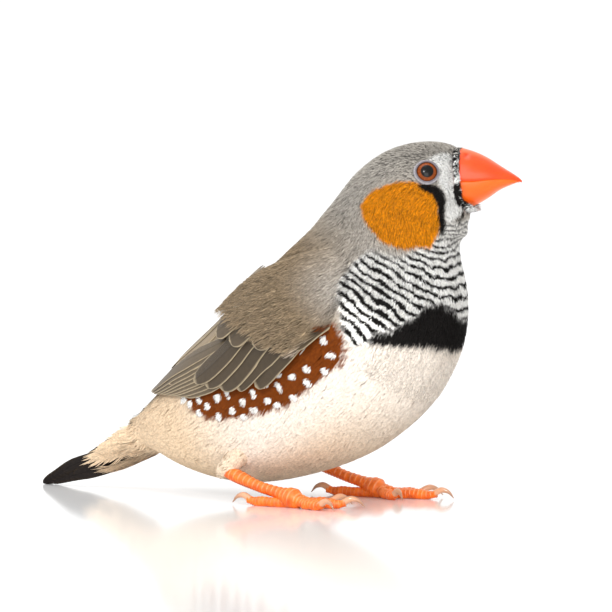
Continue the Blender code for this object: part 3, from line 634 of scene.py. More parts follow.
def mesh_object(name, points, *faces):
    """A mesh from arrays of corners and faces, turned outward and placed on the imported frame."""
    mesh = bpy.data.meshes.new(name)
    points = np.asarray(points, float).reshape(-1, 3) - PLAN_CENTRE
    if sum(signed_volume(points, group) for group in faces) < 0:
        faces = [group[:, ::-1] for group in faces]
    corners = np.concatenate([group.ravel() for group in faces]).astype(np.int32)
    sizes = np.concatenate([np.full(len(group), group.shape[1]) for group in faces])
    starts = np.concatenate([[0], np.cumsum(sizes)[:-1]]).astype(np.int32)
    mesh.vertices.add(len(points))
    mesh.vertices.foreach_set("co", points.astype(np.float32).ravel())
    mesh.loops.add(len(corners))
    mesh.loops.foreach_set("vertex_index", corners)
    mesh.polygons.add(len(sizes))
    mesh.polygons.foreach_set("loop_start", starts)
    mesh.update(calc_edges=True)
    mesh.validate()
    mesh.shade_smooth()
    piece = bpy.data.objects.new(name, mesh)
    bpy.context.scene.collection.objects.link(piece)
    return piece


def add_piece(name, shape, layers, material, nodes=()):
    """A piece with its mesh, values at its corners, material and the solids it stands for."""
    piece = mesh_object(name, *shape)
    for layer, values in layers.items():
        values = np.asarray(values, np.float32)
        kind, field = "FLOAT_VECTOR", "vector"
        if layer == "tint":
            kind, field = "FLOAT_COLOR", "color"
            values = np.column_stack([values, np.ones(len(values), np.float32)])
        piece.data.attributes.new(layer, kind, "POINT").data.foreach_set(field, values.ravel())
    piece.data.materials.append(material)
    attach(piece, BODY)
    if nodes:
        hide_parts(*nodes)
    return piece


def bake_map(piece, flat):
    """The map for baking: a flat place for each corner of the mesh."""
    corners = np.zeros(len(piece.data.loops), np.int32)
    piece.data.loops.foreach_get("vertex_index", corners)
    layer = piece.data.uv_layers.new(name="OFBake")
    layer.data.foreach_set("uv", np.asarray(flat, np.float32)[corners].ravel())


def ring_quads(index):
    """Faces between neighbouring rings of corners."""
    near, far = index[:-1], index[1:]
    return np.stack([near, np.roll(near, -1, 1), np.roll(far, -1, 1), far], axis=-1).reshape(-1, 4)


def closed_rings(points, ends):
    """Corners, end fans and sides of a row of rings with a closing corner at each end."""
    rings, sides = points.shape[:2]
    index = np.arange(rings * sides).reshape(rings, sides)
    first = (np.full(sides, index.size), np.roll(index[0], -1), index[0])
    last = (np.full(sides, index.size + 1), index[-1], np.roll(index[-1], -1))
    fans = np.concatenate([np.stack(fan, axis=-1) for fan in (first, last)])
    return np.concatenate([points.reshape(-1, 3), ends]), fans, ring_quads(index)


def surface_frames(surface, share, angle):
    """Outward direction and millimetres for each share and degree at places on a surface."""
    ahead = np.clip(share + 0.004, 0.004, 1.0)
    behind = np.clip(share - 0.004, 0.0, 0.996)
    along = (surface(ahead, angle) - surface(behind, angle)) / (ahead - behind)[..., None]
    around = (surface(share, angle + 1.0) - surface(share, angle - 1.0)) / 2.0
    normal = unit(np.cross(around, along))
    middle = (surface(share, np.zeros_like(share)) + surface(share, np.full_like(share, 180.0))) / 2
    outward = np.sum(normal * (surface(share, angle) - middle), axis=-1, keepdims=True)
    return normal * np.sign(outward), np.linalg.norm(along, axis=-1), np.linalg.norm(around, axis=-1)


def scatter(seed, surface, shares, angles, spacing, allowed, tries=60000):
    """Even, random roots for feathers: each keeps its spacing, in millimetres, from the others."""
    rng = np.random.default_rng(seed)
    share = rng.uniform(*shares, tries)
    angle = rng.uniform(*angles, tries)
    area = np.prod(surface_frames(surface, share, angle)[1:], axis=0)
    keep = (rng.uniform(0, 1, tries) < area / area.max()) & allowed(share, angle)
    share, angle = share[keep], angle[keep]
    gaps = np.broadcast_to(spacing(share) if callable(spacing) else spacing, share.shape) * MM
    places = surface(share, angle)
    cells = np.floor(places / float(gaps.max())).astype(int)
    neighbours = [(i, j, k) for i in (-1, 0, 1) for j in (-1, 0, 1) for k in (-1, 0, 1)]
    taken = {}
    kept = []
    for number, (x, y, z) in enumerate(cells.tolist()):
        px, py, pz = places[number]
        near = gaps[number] ** 2
        crowded = any((px - qx) ** 2 + (py - qy) ** 2 + (pz - qz) ** 2 < near for i, j, k in neighbours
                      for qx, qy, qz in taken.get((x + i, y + j, z + k), ()))
        if not crowded:
            taken.setdefault((x, y, z), []).append((px, py, pz))
            kept.append(number)
    return share[kept], angle[kept]


# A barb: how far along it its corners lie, its closed faces, and the place of each corner.
BARB_PLACES = np.array([0.0, 0.45, 0.8, 1.0])
BARB_FACES = np.array([
    (0, 2, 1), (0, 3, 2), (0, 1, 3),
    (1, 2, 5), (1, 5, 4), (2, 3, 6), (2, 6, 5), (3, 1, 4), (3, 4, 6),
    (4, 5, 7), (5, 6, 7), (6, 4, 7),
])
BARB_CORNER_PLACE = np.array([0, 1, 1, 1, 2, 2, 2, 3])
BARB_WIDTHS = np.array([0.0, 0.5, 0.42, 0.0])
BARB_RIDGES = np.array([0.0, 1.0, 0.85, 0.0])
STRAY_FEATHER = 0.10
STRAY_BARB = 0.07
BAKE_PATCH = 0.003


def no_height(share, angle):
    """Nothing lifts the feathers here."""
    return np.zeros(np.shape(share))


def coat(name, material, slot, seed, surface, roots, shape, colour, limits, barb_width, barbs=8,
         height=no_height, ridge=0.3, wander=0.1, silky=False):
    """A piece of the coat: each feather is a fan of thin closed barbs that lie along the body.

    shape gives length, width, depth of the root, lift of the tip and lie of each feather.
    """
    rng = np.random.default_rng(seed)
    share, angle = roots
    grid = (len(share), barbs)
    length, width, root, lift, lie = shape(share, angle)
    normal, along, around = surface_frames(surface, share, angle)
    along, around = along[:, None, None], around[:, None, None]
    away = np.where(angle < 0, -1.0, 1.0)[:, None, None]
    spread = np.linspace(-1.0, 1.0, barbs)[None, :] + rng.normal(0, 0.5 / barbs, grid)
    size = length[:, None] * (1.0 - 0.22 * spread ** 2) * rng.normal(1.0, 0.10, grid)
    turn = (lie + rng.normal(0, STRAY_FEATHER, grid[0]))[:, None] + rng.normal(0, STRAY_BARB, grid)
    turn, spread = turn[..., None], spread[..., None]
    place = BARB_PLACES[None, None, :]
    forward = size[..., None] * place
    aside = width[:, None, None] / 2 * spread * (0.2 + 0.8 * place ** 0.8)
    at_share = share[:, None, None] - (forward * np.cos(turn) - aside * np.sin(turn)) / along
    at_angle = angle[:, None, None] + away * (forward * np.sin(turn) + aside * np.cos(turn)) / around
    rise = root[:, None, None] + (lift - root)[:, None, None] * place ** 0.85
    rise = rise + rng.normal(0, 0.13 * ridge * MM, grid)[..., None] * place
    up = normal[:, None, None, :]
    points = surface(at_share, at_angle) + up * (rise + height(at_share, at_angle))[..., None]
    direction = unit(np.gradient(points, axis=2))
    side = unit(np.cross(direction, np.broadcast_to(up, points.shape)))
    side = side * (barb_width * BARB_WIDTHS)[:, None]
    left, right = points - side, points + side
    crest = points + up * (barb_width * ridge * BARB_RIDGES)[:, None]
    corners = np.stack([points[:, :, 0], left[:, :, 1], crest[:, :, 1], right[:, :, 1],
                        left[:, :, 2], crest[:, :, 2], right[:, :, 2], points[:, :, 3]], axis=2)
    corners = corners.reshape(-1, 3)
    corners[:, 2] = np.maximum(corners[:, 2], 0.0)
    faces = (BARB_FACES[None] + 8 * np.arange(grid[0] * barbs)[:, None, None]).reshape(-1, 3)
    seen_share = at_share + rng.normal(0, wander * MM, grid)[..., None] / along
    seen_angle = at_angle + rng.normal(0, wander * MM, grid)[..., None] / around
    tint, barred = (values[:, :, BARB_CORNER_PLACE].reshape(-1, 3)
                    for values in colour(seen_share, seen_angle, rng))
    layers = {"tint": np.clip(tint, 0.0, 1.0), "bars": barred}
    piece = add_piece(name, (corners, faces), layers, material)
    if silky:
        piece.data.shade_flat()
    (share_from, share_to), (angle_from, angle_to) = limits
    flat_u = (angle - angle_from) / (angle_to - angle_from) * 0.96 + 0.02
    flat_v = (share - share_from) / (share_to - share_from) * 0.96 + 0.02
    patch_u = flat_u[:, None, None] + BAKE_PATCH / 2 * spread * np.ones_like(place)
    patch_v = flat_v[:, None, None] - BAKE_PATCH * (place - 0.5) * np.ones_like(spread)
    bake_map(piece, np.stack([patch_u, patch_v], axis=-1)[:, :, BARB_CORNER_PLACE].reshape(-1, 2))


def new_material(name, rough, specular, values=None):
    """A material, its node tree and its Principled shader with the values that are the same all over."""
    material = bpy.data.materials.new(name)
    material.use_nodes = True
    shader = material.node_tree.nodes["Principled BSDF"]
    shader.inputs["Roughness"].default_value = rough
    shader.inputs["Specular IOR Level"].default_value = specular
    for socket, value in (values or {}).items():
        shader.inputs[socket].default_value = value
    return material.node_tree, material


def add_node(tree, kind, values=None, links=None, **settings):
    """A node with its settings, its socket values and the sockets that feed it."""
    node = tree.nodes.new(kind)
    for key, value in settings.items():
        setattr(node, key, value)
    for socket, value in (values or {}).items():
        node.inputs[socket].default_value = value
    for socket, source in (links or {}).items():
        tree.links.new(source, node.inputs[socket])
    return node


def finished(tree, material, colour, height, strength, distance):
    """The material with its colour, and its surface raised by a height socket."""
    shader = tree.nodes["Principled BSDF"]
    raised = add_node(tree, "ShaderNodeBump", {"Strength": strength, "Distance": distance},
                      {"Height": height})
    tree.links.new(colour, shader.inputs["Base Color"])
    tree.links.new(raised.outputs["Normal"], shader.inputs["Normal"])
    return material


def math_node(tree, operation, *values, clamp=False):
    """The result of one sum on sockets or numbers."""
    node = add_node(tree, "ShaderNodeMath", operation=operation, use_clamp=clamp)
    for index, value in enumerate(values):
        if isinstance(value, (int, float)):
            node.inputs[index].default_value = value
        else:
            tree.links.new(value, node.inputs[index])
    return node.outputs[0]


def mix_colours(tree, factor, first, second, mode="MIX"):
    """The socket of two colours mixed; each is a socket or a colour."""
    node = add_node(tree, "ShaderNodeMix", data_type="RGBA", blend_type=mode)
    for socket, value in (("Factor", factor), ("A", first), ("B", second)):
        target = [entry for entry in node.inputs if entry.name == socket and entry.enabled][0]
        if isinstance(value, bpy.types.NodeSocket):
            tree.links.new(value, target)
        else:
            target.default_value = value if isinstance(value, float) else (*value, 1.0)
    return [entry for entry in node.outputs if entry.enabled][0]


def stored(tree, name):
    """The values stored at a mesh's corners: their three numbers, and all as one vector."""
    vector = add_node(tree, "ShaderNodeAttribute", attribute_name=name).outputs["Vector"]
    return (*add_node(tree, "ShaderNodeSeparateXYZ", links={"Vector": vector}).outputs, vector)


def stored_tint(tree):
    """The colour stored at a mesh's corners."""
    return add_node(tree, "ShaderNodeAttribute", attribute_name="tint").outputs["Color"]


def own_place(tree):
    """A place in the object's own coordinates."""
    return add_node(tree, "ShaderNodeTexCoord").outputs["Object"]


def noise(tree, scale, detail=2.0, vector=None):
    """The strength of a noise texture at a scale for each metre."""
    links = {"Vector": vector or own_place(tree)}
    return add_node(tree, "ShaderNodeTexNoise", {"Scale": scale, "Detail": detail}, links).outputs["Fac"]


def stretch(tree, socket, low, high, to_low, to_high):
    """A value mapped smoothly from one range to another."""
    values = {"From Min": low, "From Max": high, "To Min": to_low, "To Max": to_high}
    node = add_node(tree, "ShaderNodeMapRange", values, {"Value": socket}, interpolation_type="SMOOTHSTEP")
    return node.outputs["Result"]


def uneven(tree, colour, grain):
    """A colour made lighter and darker by a socket."""
    grey = add_node(tree, "ShaderNodeCombineColor", links={"Red": grain, "Green": grain, "Blue": grain})
    return mix_colours(tree, 1.0, colour, grey.outputs["Color"], "MULTIPLY")


def toned(colour, *scales):
    """A colour with its channels multiplied by one number or by three."""
    return tuple(channel * scale for channel, scale in zip(colour, scales * (3 // len(scales))))


def soft_light(weight, radius):
    """Shader values that let light into a surface, by distances in metres for red, green and blue."""
    return {"Subsurface Weight": weight, "Subsurface Radius": radius, "Subsurface Scale": 1.0}


def plumage_material(look):
    """Short feathers, made once: the stored colour, black bars along the stored count, and fine barbs."""
    name = "finch_feathers"
    if name in bpy.data.materials:
        return bpy.data.materials[name]
    tree, material = new_material(name, 0.75, 0.12, {"Sheen Weight": 0.03, "Sheen Roughness": 0.5})
    strength, count, duty = stored(tree, "bars")[:3]
    middle = math_node(tree, "ABSOLUTE", math_node(tree, "SUBTRACT", math_node(tree, "FRACT", count), 0.5))
    edge = math_node(tree, "SUBTRACT", middle, math_node(tree, "MULTIPLY", duty, 0.5))
    barred = stretch(tree, edge, -0.06, 0.06, 1.0, 0.0)
    weight = math_node(tree, "MULTIPLY", barred, strength, clamp=True)
    colour = mix_colours(tree, weight, stored_tint(tree), look.black)
    colour = uneven(tree, colour, stretch(tree, noise(tree, 2600.0), 0.3, 0.7, 0.86, 1.12))
    return finished(tree, material, colour, noise(tree, 5200.0, 1.0), 0.12, 0.00008)


def vane_material():
    """Flight feathers: the stored colour, with barbs that slant away from the shaft."""
    tree, material = new_material("wing_vanes", 0.55, 0.35, {"Sheen Weight": 0.05, "Sheen Roughness": 0.5})
    along, across = stored(tree, "vane")[:2]
    slant = math_node(tree, "MULTIPLY", math_node(tree, "ABSOLUTE", across), 1.6)
    line = math_node(tree, "ADD", along, slant)
    line = math_node(tree, "ADD", line, math_node(tree, "MULTIPLY", noise(tree, 900.0), 0.25))
    wave = math_node(tree, "SINE", math_node(tree, "MULTIPLY", line, 2 * pi / 0.24))
    grain = stretch(tree, wave, -1.0, 1.0, 0.86, 1.08)
    grain = math_node(tree, "MULTIPLY", grain, stretch(tree, noise(tree, 1500.0), 0.3, 0.7, 0.9, 1.08))
    return finished(tree, material, uneven(tree, stored_tint(tree), grain), wave, 0.35, 0.00004)


def make_skin(look, material):
    """One skin under all the feathers of head, neck and trunk, in the plumage's colours darkened as painted
    shade where it shows between the feathers.
    """
    angles = np.linspace(-180.0, 180.0, 181)[:-1]
    share, angle = np.meshgrid(np.linspace(0.0, 1.0, 190), angles, indexing="ij")
    points = body_point(share, angle)
    ends = points[[0, -1]].mean(1)
    normal = surface_frames(body_point, np.clip(share, 0.004, 0.996), angle)[0]
    points = points - normal * (look.depth - chin_height(share, angle))[..., None]
    share = np.append(share, (0.0, 1.0))
    angle = np.append(angle, (0.0, 0.0))
    tint, barred = plumage(share, angle, look)
    # The plumage's colours darkened by 0.85: painted shade in the gaps between the feathers.
    layers = {"tint": np.clip(tint * 0.85, 0.0, 1.0), "bars": barred}
    piece = add_piece("skin", closed_rings(points, ends), layers, material,
                      ("head", "neck", "torso"))
    bake_map(piece, np.stack([angle / 360.0 * 0.96 + 0.5, share * 0.96 + 0.02], axis=-1))


def lay(share, length, width, root, lift, lie):
    """Length, width, root and lift of each feather, given in millimetres, and how its tip turns down."""
    sizes = [np.broadcast_to(size, share.shape) * MM for size in (length, width, root, lift)]
    return (*sizes, np.broadcast_to(lie, share.shape))


def streaks(rng, share, spread):
    """A lighter or darker tone for each barb."""
    return np.exp(rng.normal(0, spread, share.shape[:2]))[..., None, None]


def along_barb(*tones):
    """A tone for each of the four places along a barb."""
    return np.array(tones)[None, None, :, None]


def body_colour(look, darker, streak, fleck=None, flank=1.0):
    """A colour function for the body's own feathers, streaked barb by barb, and darker towards each barb's
    root by darker: partly the grey of real feather bases, partly painted shade under the feathers above.
    """
    def colour(share, angle, rng):
        tint, barred = plumage(share, angle, look, flank)
        # Each barb darkest at its root and a little lighter at its tip: painted shade where it lies under the
        # feathers above, partly the real grey of feather bases.
        tint = tint * streaks(rng, share, streak) * along_barb(darker, 0.5 + 0.5 * darker, 0.95, 1.06)
        if fleck:
            dark = rng.uniform(0, 1, share.shape[:2]) < fleck(share[:, :, -1], angle[:, :, -1])
            tint = tint * (1.0 - 0.85 * dark[..., None, None] * along_barb(0.0, 0.2, 1.0, 1.0))
        return tint, barred
    return colour


def face_surface(share, angle, out=0.0):
    """The body's surface, carried on ahead over the root of the bill where share passes 1."""
    share, angle, out = np.broadcast_arrays(share, angle, out)
    ahead = head_point(1.0, 0.0, 0.0) - head_point(0.0, 0.0, 0.0)
    return body_point(share, angle, out) + np.maximum(share - 1.0, 0.0)[..., None] * BODY_LENGTH * ahead


def rear_surface(share, angle, out=0.0):
    """The body's surface, carried on behind over the root of the tail where share is below 0."""
    share, angle, out = np.broadcast_arrays(share, angle, out)
    behind = unit(TAIL_ROWS[1, :3] - TAIL_ROWS[0, :3])
    return body_point(share, angle, out) + np.maximum(-share, 0.0)[..., None] * BODY_LENGTH * behind


def body_coat(word, look, material, slot, first_seed, seed, shares, reach, spacing, allowed, barb_width,
              **finish):
    """The right and the left half of a coat.

    shares are where its roots lie and what the map for baking spans, and reach is the degrees
    from the back that it spans.
    """
    for number, (side, angles) in enumerate((("right", (-reach[1], -reach[0])), ("left", reach))):
        roots = scatter(first_seed + number, body_point, shares[:2], angles, spacing, allowed)
        coat("coat_%s_%s" % (word, side), material, slot, seed, roots=roots, limits=(shares[2:], angles),
             barb_width=look.barb_width * barb_width, **finish)


def make_head_coat(look, material):
    """The smallest feathers: crown, face, cheeks and chin, left and right."""
    def clear_of_eye(share, angle):
        return eye_distance(share, np.abs(angle)) > FEATHERS_FROM_EYE

    def shape(share, angle):
        side = np.abs(angle)
        near_eye = ramp(eye_distance(share, side), 3.6, -1.6)
        small = np.maximum(ramp(share, 0.93, 0.06) * 0.75, near_eye)
        return lay(share, 1.75 - 0.95 * small, 0.95 - 0.35 * small, -0.5, 0.16 - 0.08 * small,
                   0.15 * np.sin(np.radians(side)))

    def flecks(share, angle):
        side = np.abs(angle)
        brow = 0.30 * ramp(share, 0.86, 0.05) * ramp(side, 70, -20)
        base = 0.65 * ramp(share, 0.984, 0.008) * ramp(side, 96, -10)
        return np.maximum(np.maximum(brow, base), 0.10 * (share < 0.9) * (side < 60))

    body_coat("head", look, material, "plumage_head", 11, 21, (0.80, 0.9985, 0.80, 1.0), (0.0, 180.0),
              lambda share: (0.43 - 0.13 * ramp(share, 0.92, 0.06)) / look.density, clear_of_eye, 0.66,
              surface=body_point, shape=shape, colour=body_colour(look, 0.72, 0.15, flecks),
              height=chin_height, wander=0.08)


def make_bill_edge(look, material):
    """Short bristles over the root of the bill, and loose wisps under the chin."""
    rng = np.random.default_rng(51)

    def shape(share, angle):
        chin = ramp(np.abs(angle), 128, 22)
        varied = rng.uniform(0.55, 1.25, share.shape)
        return lay(share, -(0.6 + 1.5 * chin) * varied, 0.55, -0.2, 0.12 + 0.1 * chin * varied, 0.1)

    def colour(share, angle, rng):
        side = np.abs(angle)
        tint = blend(evenly(share, look.white), look.crown, ramp(side, 46, -14) * 0.8)
        dark = np.interp(side[:, :, 0], (0, 20, 30, 70, 84, 92, 98, 140, 150, 180),
                         (0.5, 0.6, 0.8, 0.8, 0.4, 0.15, 0.95, 0.95, 0.18, 0.18))
        picked = (rng.uniform(0, 1, (len(share), 1)) < dark)[..., None, None]
        tint = np.where(picked, np.array(look.black), tint * streaks(rng, share, 0.1))
        return tint, np.zeros(share.shape + (3,))

    count = 1300
    roots = (rng.uniform(0.995, 1.002, count), rng.uniform(-180.0, 180.0, count))
    coat("coat_bill_edge", material, "plumage_head", 52, face_surface, roots, shape, colour,
         ((0.9, 1.0), (-180.0, 180.0)), look.barb_width * 0.5, 6, chin_height, wander=0.0)


def make_breast_coat(look, material):
    """Neck, throat and breast."""
    def shape(share, angle):
        lower = ramp(share, 0.80, -0.15)
        lie = 0.10 * np.sin(np.radians(np.abs(angle)))
        return lay(share, 2.0 + 0.5 * lower, 1.25 + 0.3 * lower, -0.5, 0.2, lie)

    body_coat("breast", look, material, "plumage_body", 13, 22, (0.63, 0.80, 0.63, 0.80), (0.0, 180.0),
              0.55 / look.density, lambda share, angle: (np.abs(angle) > 55) | (share > 0.735), 0.8,
              surface=body_point, shape=shape, colour=body_colour(look, 0.68, 0.14), height=plumage_height,
              ridge=0.25)


def make_belly_coat(look, material):
    """The soft feathers of belly, flanks and vent."""
    def below_wing(share, angle):
        return (wing_place(share, angle) > 0.72) | (share < 0.19)

    def shape(share, angle):
        flank = ramp(np.abs(angle), 125, -15)
        return lay(share, 3.4 + 0.2 * flank, 1.9, -0.25, 0.10 + 0.20 * flank, 0.10 + 0.22 * flank)

    body_coat("belly", look, material, "plumage_body", 15, 23, (0.01, 0.70, 0.0, 0.70), (40.0, 180.0),
              0.76 / look.density, below_wing, 1.5, surface=rear_surface, shape=shape,
              colour=body_colour(look, 0.94, 0.03), barbs=9, ridge=0.03, wander=0.12, silky=True)


def make_flank_spots(look, material):
    """The white tips of the flank's chestnut feathers, four feathers to a spot."""
    rng = np.random.default_rng(26)
    places = spot_places(27)

    def shape(share, angle):
        return lay(share, 1.45, 0.95, 0.05, 0.42, 0.3)

    def colour(share, angle, rng):
        tint = np.array(look.white) * np.exp(rng.normal(0, 0.05, share.shape))[..., None]
        # The spots' barbs darker at the root: painted shade where they lie under the feathers above.
        return tint * along_barb(0.75, 0.95, 1.0, 1.0), np.zeros(share.shape + (3,))

    for side, sign in (("right", -1.0), ("left", 1.0)):
        share, angle = (np.repeat(values, 4) for values in places)
        share = share + (rng.normal(0, 0.14, len(share)) + 0.4) * MM / BODY_LENGTH
        angle = sign * (angle + rng.normal(0, 0.14, len(angle)) / BODY_MM_PER_DEGREE)
        coat("coat_spots_" + side, material, "plumage_body", 28, body_point, (share, angle), shape, colour,
             ((0.0, 0.75), (min(angle) - 1, max(angle) + 1)), look.barb_width * 0.8, 9, ridge=0.15,
             wander=0.0)


def make_back_coat(look, material):
    """Mantle, shoulders, back and rump."""
    def allowed(share, angle):
        place = wing_place(share, angle)
        covered = share > 0.35 + 0.22 * np.clip(place, 0, 1)
        on_wing = (place > 0.0) & (place < 1.0) & (share > 0.17) & (share < 0.74)
        return (~on_wing | covered) & ((np.abs(angle) < 66) | (place < 1.0))

    def shape(share, angle):
        return lay(share, 2.9, 1.6, -0.5, 0.26, 0.08 - 0.14 * ramp(np.abs(angle), 20, 50))

    body_coat("back", look, material, "plumage_body", 17, 24, (0.01, 0.745, 0.0, 0.75), (0.0, 96.0),
              0.66 / look.density, allowed, 0.85, surface=rear_surface, shape=shape,
              colour=body_colour(look, 0.55, 0.20, flank=0.0), height=plumage_height, ridge=0.25)


# The places of a feather's corners along its shaft and across it, and its raised, dark shaft.
VANE_ALONG = np.concatenate([np.linspace(0.0, 0.8, 11), np.array([0.86, 0.91, 0.95, 0.98, 1.0])])[:, None]
VANE_ACROSS = np.array([[-1.0, -0.86, -0.55, -0.25, -0.07, 0.0, 0.07, 0.25, 0.55, 0.86, 1.0]])
VANE_GRID = np.ones((VANE_ALONG.size, VANE_ACROSS.size))
VANE_TILT = 0.10
SHAFT_RIDGE = 0.05 * MM * np.exp(-(VANE_ACROSS / 0.05) ** 2)
SHAFT_LINE = np.exp(-(VANE_ACROSS / 0.06) ** 2)[..., None]


def vane_width(place):
    """A feather's outline: its half width as a share of the widest, rounded at the tip."""
    body = np.minimum(1.0, 0.45 + 1.1 * place)
    tip = np.sqrt(np.clip(1.0 - ((place - 0.72) / 0.28) ** 2, 0.0, 1.0))
    return np.where(place > 0.72, body * np.maximum(tip, 0.06), body)


def vane_mesh(grids, thickness):
    """Closed feathers from grids of upper corners and outward directions."""
    index = np.arange(VANE_GRID.size).reshape(VANE_GRID.shape)
    upper = np.stack([index[:-1, :-1], index[:-1, 1:], index[1:, 1:], index[1:, :-1]], axis=-1).reshape(-1, 4)
    rim = np.concatenate([index[0, :-1], index[:-1, -1], index[-1, :0:-1], index[:0:-1, 0]])
    after = np.roll(rim, -1)
    walls = np.stack([after, rim, rim + index.size, after + index.size], axis=-1)
    block = np.concatenate([upper, upper[:, ::-1] + index.size, walls])
    taper = ((1.0 - 0.75 * np.abs(VANE_ACROSS)) * thickness)[..., None]
    corners = np.concatenate([part.reshape(-1, 3) for points, normals in grids
                              for part in (points, points - normals * taper)])
    corners[:, 2] = np.maximum(corners[:, 2], 0.0)
    return corners, np.concatenate([block + number * 2 * index.size for number in range(len(grids))])


def both_faces(values):
    """Values at the upper corners of each feather, and the same at its lower corners."""
    return np.concatenate([np.tile(part.reshape(-1, 3), (2, 1)) for part in values])


def tier(rows, count):
    """More feathers between the rows of a tier."""
    return spline(np.linspace(0, 1, len(rows)), rows, np.linspace(0, 1, count))


def wing_vane(row, side, drift):
    """The grid of one wing feather, laid along the body with its lower edge a little raised."""
    root_share, root_angle, tip_share, tip_angle, half, root_out, tip_out = row
    share = (root_share + (tip_share - root_share) * VANE_ALONG) * VANE_GRID
    middle = root_angle + (tip_angle - root_angle) * VANE_ALONG + drift * VANE_ALONG * (1 - VANE_ALONG)
    half_width = half * MM * vane_width(VANE_ALONG)
    around = surface_frames(body_point, share, side * middle * VANE_GRID)[2]
    angle = side * (middle + VANE_ACROSS * half_width / around)
    out = (root_out + (tip_out - root_out) * VANE_ALONG) * MM + VANE_TILT * VANE_ACROSS * half_width
    out = out + 0.10 * MM * (1 - VANE_ACROSS ** 2) * (1 - 0.5 * VANE_ALONG) + SHAFT_RIDGE
    return share, angle, out - 1.9 * MM * ramp(share, 0.57, 0.09)


def make_wing(side, word, feathers, material):
    """A folded wing: flight feathers and coverts as thin vanes in tiers."""
    rng = np.random.default_rng(31)
    tiers = (
        (tier(PRIMARIES, 9), feathers.dark, 0.35, 0.9),
        (tier(SECONDARIES, 5), feathers.dark, 0.0, 0.95),
        (tier(TERTIALS, 4) - TERTIAL_SINK, feathers.middle, 0.0, 1.05),
        (tier(GREATER_COVERTS, 4) + WIDER_COVERT, feathers.dark, 0.1, 1.0),
        (tier(MEDIAN_COVERTS, 6) - COVERT_SINK, feathers.middle, 0.0, 1.0),
        (tier(SCAPULARS, 5) - COVERT_SINK, feathers.middle, 0.0, 1.0),
    )
    border = 0.85 * np.maximum(ramp(np.abs(VANE_ACROSS), 0.86, 0.14), ramp(VANE_ALONG, 0.955, 0.04))
    grids, tints, marks = [], [], []
    for rows, base, toward, bright in tiers:
        base = np.array(base) * (1 - toward) + np.array(feathers.middle) * toward
        for row in rows:
            share, angle, out = wing_vane(row, side, rng.normal(0, 1.5))
            grids.append((body_point(share, angle, out), surface_frames(body_point, share, angle)[0]))
            tone = base * bright * rng.normal(1.0, 0.05) * (0.8 + 0.2 * VANE_ALONG[..., None])
            tints.append(blend(tone, feathers.pale, border) * (1 - 0.35 * SHAFT_LINE))
            length = (row[0] - row[2]) * BODY_LENGTH / MM * VANE_ALONG
            marks.append(np.stack(np.broadcast_arrays(length, VANE_ACROSS * row[4], 0.0), axis=-1))
    layers = {"tint": both_faces(tints), "vane": both_faces(marks)}
    add_piece("wing_feathers_" + word, vane_mesh(grids, feathers.thickness), layers, material,
              ("wing_" + word,))


# The tail's length and the pitch of its white and black bars, in millimetres.
TAIL_REACH = 22.0
TAIL_BAR = 3.1


def tail_vane(start, end, aside, rise, half):
    """The grid of one tail feather: aside and rise are its offsets at root and tip."""
    row = tail_read(start + (end - start) * VANE_ALONG)
    wide = VANE_ACROSS * half * MM * vane_width(VANE_ALONG)
    sideways = (aside[0] + (aside[1] - aside[0]) * VANE_ALONG) * MM + wide
    up = (rise[0] + (rise[1] - rise[0]) * VANE_ALONG) * MM - 0.15 * MM * VANE_ACROSS ** 2
    up = up - 0.25 * np.sign(aside[0]) * wide + SHAFT_RIDGE
    points = row[..., 0:3] + row[..., 3:6] * sideways[..., None] + row[..., 6:9] * up[..., None]
    return points, np.broadcast_to(row[..., 6:9], points.shape)


def make_tail_feathers(feathers, look, material):
    """Tail feathers and their barred upper coverts as thin vanes."""
    rows = []
    for side in (-1, 1):
        for number in range(6):
            end = 0.99 - 0.05 * number - (0.07 if side > 0 else 0.0)
            aside = ((0.35 + 0.30 * number) * side, (0.10 + 0.14 * number) * side)
            rise = 0.90 - 0.27 * number
            rows.append((0.2, end, aside, (rise, rise * 0.5), 1.25, feathers.tail, 0.0))
        for number in range(3 if side < 0 else 5):
            aside = (0.4 + (0.55 if side < 0 else 0.75) * number) * side
            top = 2.5 - 0.32 * number
            rows.append((0.02, 0.56 - 0.05 * number, (aside, aside * 0.85), (top, top - 0.45), 1.2,
                         look.white, 1.0))
    grids, tints, barred = [], [], []
    for start, end, aside, rise, half, base, strength in rows:
        grids.append(tail_vane(start, end, aside, rise, half))
        border = ramp(np.abs(VANE_ACROSS), 0.8, 0.2) * (1 - strength) * 0.6 * VANE_GRID
        tints.append(blend(np.array(base) * (1 - 0.3 * SHAFT_LINE), np.array(feathers.dark) * 0.8, border))
        count = (start + (end - start) * VANE_ALONG) * TAIL_REACH / TAIL_BAR + 0.1 * np.abs(aside[0])
        barred.append(np.stack(np.broadcast_arrays(strength, count * VANE_GRID, 0.56), axis=-1))
    layers = {"tint": both_faces(tints), "bars": both_faces(barred)}
    add_piece("tail_feathers", vane_mesh(grids, feathers.thickness), layers, material,
              ("tail",))


